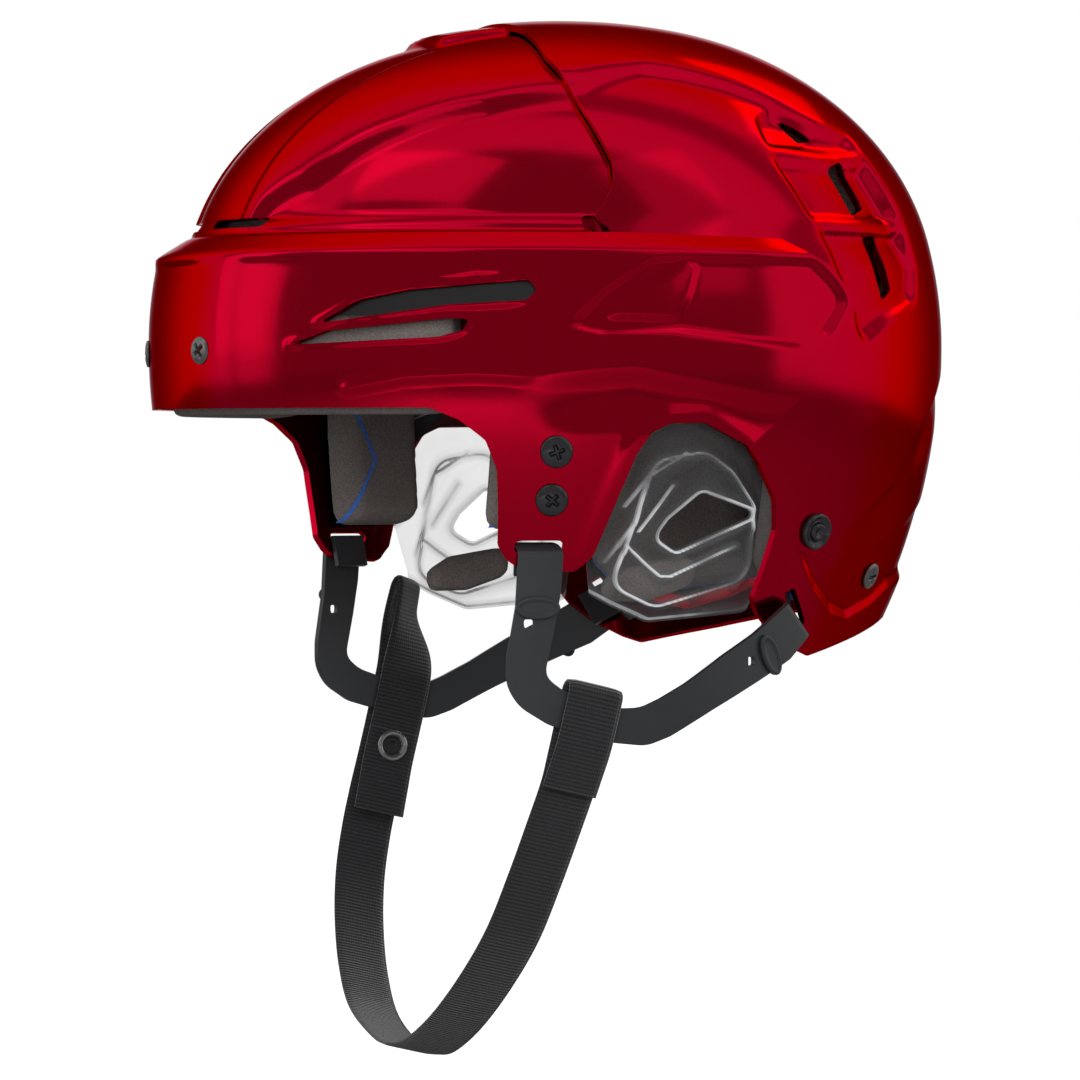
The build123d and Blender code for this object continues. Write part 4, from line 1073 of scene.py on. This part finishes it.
# ---- Chin strap ----
# The strap lies in a plane: ACROSS runs from bar to bar, and DOWN leans to the front.
NEAR_BAR, FAR_BAR = np.array([99.6794, -24.1, -101.1]), np.array([-100.546, -16.0, -103.3])
STRAP_LEAN = math.radians(13.5)
ACROSS = (FAR_BAR - NEAR_BAR) / np.linalg.norm(FAR_BAR - NEAR_BAR)
DOWN = np.array([0, -math.sin(STRAP_LEAN), -math.cos(STRAP_LEAN)])
WIDE = np.cross(ACROSS, DOWN)
WIDE /= np.linalg.norm(WIDE)
WEB_WIDTH, WEB_WALL, WEB_STEP = 18.5, 1.6, 1.1
STRAP_LINE = [(3.5, 14.6), (4.0, 24), (8.5, 37), (15.5, 55), (25, 74), (41, 91), (61, 106), (82, 116),
              (99, 118.8), (116, 118.3), (149, 110.7), (171, 98), (188, 82), (199, 65.6), (203.6, 50),
              (204.6, 36), (204.1, 23.3), (203.9, 13)]
WRAP_LINE = [(1.6, 25.4), (-0.4, 19), (-2.6, 12), (-3.5, 5), (-3.5, -4), (-3.0, -8), (0, -9.6), (3.0, -8),
             (3.5, -4), (3.5, 5), (3.5, 14.9)]
FOLD_LINE = [(203.9, 13.1), (204.2, 0), (204.7, -16), (204.4, -36), (203.9, -40.4), (202.6, -42),
             (201.3, -40.4), (200.8, -36), (199.4, -16), (197.6, -7), (196.9, 0), (196.9, 12.5)]
FLAP_LINE = [(196.9, 12), (196.9, 23.3), (195.6, 32), (194.1, 42)]
FOLD_TWIST, FOLD_TWIST_RUN, FOLD_MIDDLE = math.radians(50), (7, 33), 1.6


def curve(points):
    """A smooth line through points, evenly spaced."""
    pts = np.array(points, float)
    pts = np.vstack([2 * pts[0] - pts[1], pts, 2 * pts[-1] - pts[-2]])
    out = []
    for a, b, c, d in zip(pts, pts[1:], pts[2:], pts[3:]):
        square, cube = 2 * a - 5 * b + 4 * c - d, 3 * b - a - 3 * c + d
        out += [0.5 * (2 * b + (c - a) * t + square * t ** 2 + cube * t ** 3)
                for t in np.linspace(0, 1, 12, endpoint=False)]
    out = np.array(out + [pts[-2]])
    reach = np.concatenate([[0], np.cumsum(np.linalg.norm(np.diff(out, axis=0), axis=1))])
    places = np.linspace(0, reach[-1], max(int(reach[-1] / WEB_STEP), 6))
    return np.stack([np.interp(places, reach, out[:, k]) for k in range(out.shape[1])], -1)


def ribbon(name, points):
    """Round-edged webbing along a middle line in the strap's plane, with a UV map in millimetres."""
    flat = curve(points)
    line = NEAR_BAR + flat[:, :1] * ACROSS + flat[:, 1:] * DOWN
    along = np.gradient(line, axis=0)
    along /= np.linalg.norm(along, axis=1)[:, None]
    out = np.cross(WIDE, along)
    out /= np.linalg.norm(out, axis=1)[:, None]
    across = np.linspace(-1, 1, 9)
    half = WEB_WALL / 2 * (1 - 0.55 * np.abs(across) ** 8)
    ring = [(a * WEB_WIDTH / 2, h) for a, h in zip(across, half)]
    ring += [(a * WEB_WIDTH / 2, -h) for a, h in zip(across[::-1], half[::-1])]
    verts = np.concatenate([line[:, None] + WIDE * a + out[:, None] * b for a, b in ring], 1)
    rows, count = len(line), len(ring)
    # The faces point into the webbing, and the look of its ribs depends on that.
    piece = solid(name, verts.reshape(-1, 3), [face[:1] + face[:0:-1] for face in tube_faces(rows, count)])
    reach = np.concatenate([[0], np.cumsum(np.linalg.norm(np.diff(line, axis=0), axis=1))])
    corners = np.zeros(len(piece.data.loops), int)
    piece.data.loops.foreach_get("vertex_index", corners)
    chart = np.stack([np.repeat(reach, count), np.tile([a for a, b in ring], rows)], -1)[corners]
    piece.data.uv_layers.new(name="Weave").data.foreach_set("uv", chart.astype(np.float32).ravel())
    return piece


def twisted(piece):
    """Turn the top of the right fold about its front edge, towards the far side."""
    hinge = FAR_BAR + ACROSS * FOLD_MIDDLE + WIDE * WEB_WIDTH / 2
    away = coordinates(piece) - hinge
    lean = FOLD_TWIST * smooth(-(away @ DOWN), *FOLD_TWIST_RUN)
    far, wide = away @ ACROSS, away @ WIDE
    away += np.outer(far * np.cos(lean) - wide * np.sin(lean) - far, ACROSS)
    away += np.outer(wide * np.cos(lean) + far * np.sin(lean) - wide, WIDE)
    piece.data.vertices.foreach_set("co", ((away + hinge) * MM).ravel())
    piece.data.update()
    return piece


def chin_strap():
    finish_piece(ribbon("Chin_strap", STRAP_LINE), "chin", "webbing", WEBBING, "chin_strap")
    for node, piece, bar in (("left_wrap", ribbon("Left_wrap", WRAP_LINE), NEAR_BAR),
                             ("right_loop", twisted(ribbon("Right_loop", FOLD_LINE)), FAR_BAR)):
        dress(piece, "webbing", WEBBING, node)
        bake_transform(piece)
    finish_piece(ribbon("Snap_flap", FLAP_LINE), "flap", "webbing", WEBBING, "snap_flap")
    cap_at = NEAR_BAR + ACROSS * (FLAP_LINE[0][0] - WEB_WALL / 2) + DOWN * 17.7
    for name, rows, count, slot, material in (("Snap_cap", CAP_RING, 56, "snap_metal", DARK_CHROME),
                                              ("Snap_centre", CAP_CENTRE, 48, "black_plastic", BLACK)):
        piece = repeated(name, turned("Cap part", rows, count), [(cap_at, -ACROSS, 0)], material)
        finish_piece(piece, "flap", slot, material, "snap_cap")


chin_strap()


# ---- Studio ----
CAMERA_TURN, CAMERA_RISE, CAMERA_AWAY, CAMERA_LENS = 68.5, 0.8, 1.8, 175.8
TARGET = np.array([0, -1.4, -46.0]) * MM
FLOOR_Z, FLOOR_HALF = -232, 3000


def towards(turn, rise, away=1.0):
    """A place round the helmet, by its turn from the front and its rise in degrees."""
    a, e = math.radians(turn), math.radians(rise)
    return TARGET + away * np.array([math.sin(a) * math.cos(e), -math.cos(a) * math.cos(e), math.sin(e)])


def seen_directly(tree):
    """1 for what the eye sees, also through a clear piece."""
    path = tree.node("ShaderNodeLightPath")
    return Reading(tree.tree, path.outputs["Is Camera Ray"]).math(
        "MAXIMUM", Reading(tree.tree, path.outputs["Is Transmission Ray"]))


def studio_sky():
    """White to the eye. In reflections it is dark before and behind, and bright round the sides."""
    world = bpy.data.worlds.new("Studio")
    bpy.context.scene.world = world
    world.use_nodes = True
    sky = Tree(world.node_tree)
    compass = sky.read("Generated", "ShaderNodeTexCoord")
    facing = sky.node("ShaderNodeVectorMath", {"operation": "DOT_PRODUCT"})
    wire(sky.tree, compass, facing.inputs[0])
    turn = math.radians(CAMERA_TURN)
    wire(sky.tree, (math.sin(turn), -math.cos(turn), 0.014), facing.inputs[1])
    aim = Reading(sky.tree, facing.outputs["Value"])
    rise = sky.read("Z", "ShaderNodeSeparateXYZ", Vector=compass)
    surround = aim.between(0.42, 0.34) * (1 - aim.between(-0.45, -0.88) * 0.95)
    arch = aim.between(0.07, 0.03) * aim.between(-0.15, -0.11) * rise.between(0.25, 0.45)
    level = 0.24 + surround * (1 - arch * 0.8) * 0.50
    wire(sky.tree, level + (1 - level) * seen_directly(sky), sky.tree.nodes["Background"].inputs["Color"])


def pale_floor():
    finish = Finish("Pale floor")
    finish.set(Base_Color=finish.blend(finish.noise(3.0, 2.0), (0.30, 0.30, 0.30), (0.33, 0.33, 0.33)),
               Roughness=0.9, Specular_IOR_Level=0.0, Emission_Color=seen_directly(finish),
               Emission_Strength=1.0)
    corners = [(x * FLOOR_HALF, y * FLOOR_HALF, FLOOR_Z) for x, y in ((-1, -1), (1, -1), (1, 1), (-1, 1))]
    floor = solid("Floor", corners, [[0, 1, 2, 3]], True)
    floor.data.materials.append(finish.material)


def softbox(name, turn, rise, away, size, power, in_reflections=True):
    lamp = bpy.data.lights.new(name, "AREA")
    lamp.shape, lamp.size, lamp.size_y, lamp.energy = "RECTANGLE", *size, power
    holder = bpy.data.objects.new(name, lamp)
    bpy.context.collection.objects.link(holder)
    holder.location = towards(turn, rise, away)
    holder.rotation_mode = "QUATERNION"
    holder.rotation_quaternion = (Vector(TARGET) - holder.location).to_track_quat("-Z", "Y")
    holder.visible_glossy = in_reflections


def photo_camera():
    lens = bpy.data.cameras.new("Camera")
    lens.lens, lens.sensor_width = CAMERA_LENS, 36.0
    camera = bpy.data.objects.new("Camera", lens)
    bpy.context.collection.objects.link(camera)
    back = Vector(towards(CAMERA_TURN, CAMERA_RISE)) - Vector(TARGET)
    camera.location = Vector(TARGET) + back * CAMERA_AWAY
    camera.rotation_mode = "QUATERNION"
    camera.rotation_quaternion = back.to_track_quat("Z", "Y")
    bpy.context.scene.camera = camera


studio_sky()
pale_floor()
softbox("Key", 35, 55, 1.5, (0.9, 0.6), 0.9)
softbox("Side", 120, 35, 1.5, (0.5, 1.2), 0.5)
softbox("Front", -5, 20, 1.5, (0.5, 1.0), 0.5)
softbox("Back", 200, 45, 1.6, (0.9, 0.5), 1.6)
softbox("Far", 250, 10, 1.6, (0.8, 0.8), 1.0)
softbox("Fill", 66, 14, 1.7, (1.2, 1.0), 26, in_reflections=False)
photo_camera()
bpy.context.scene.view_settings.view_transform = "Standard"
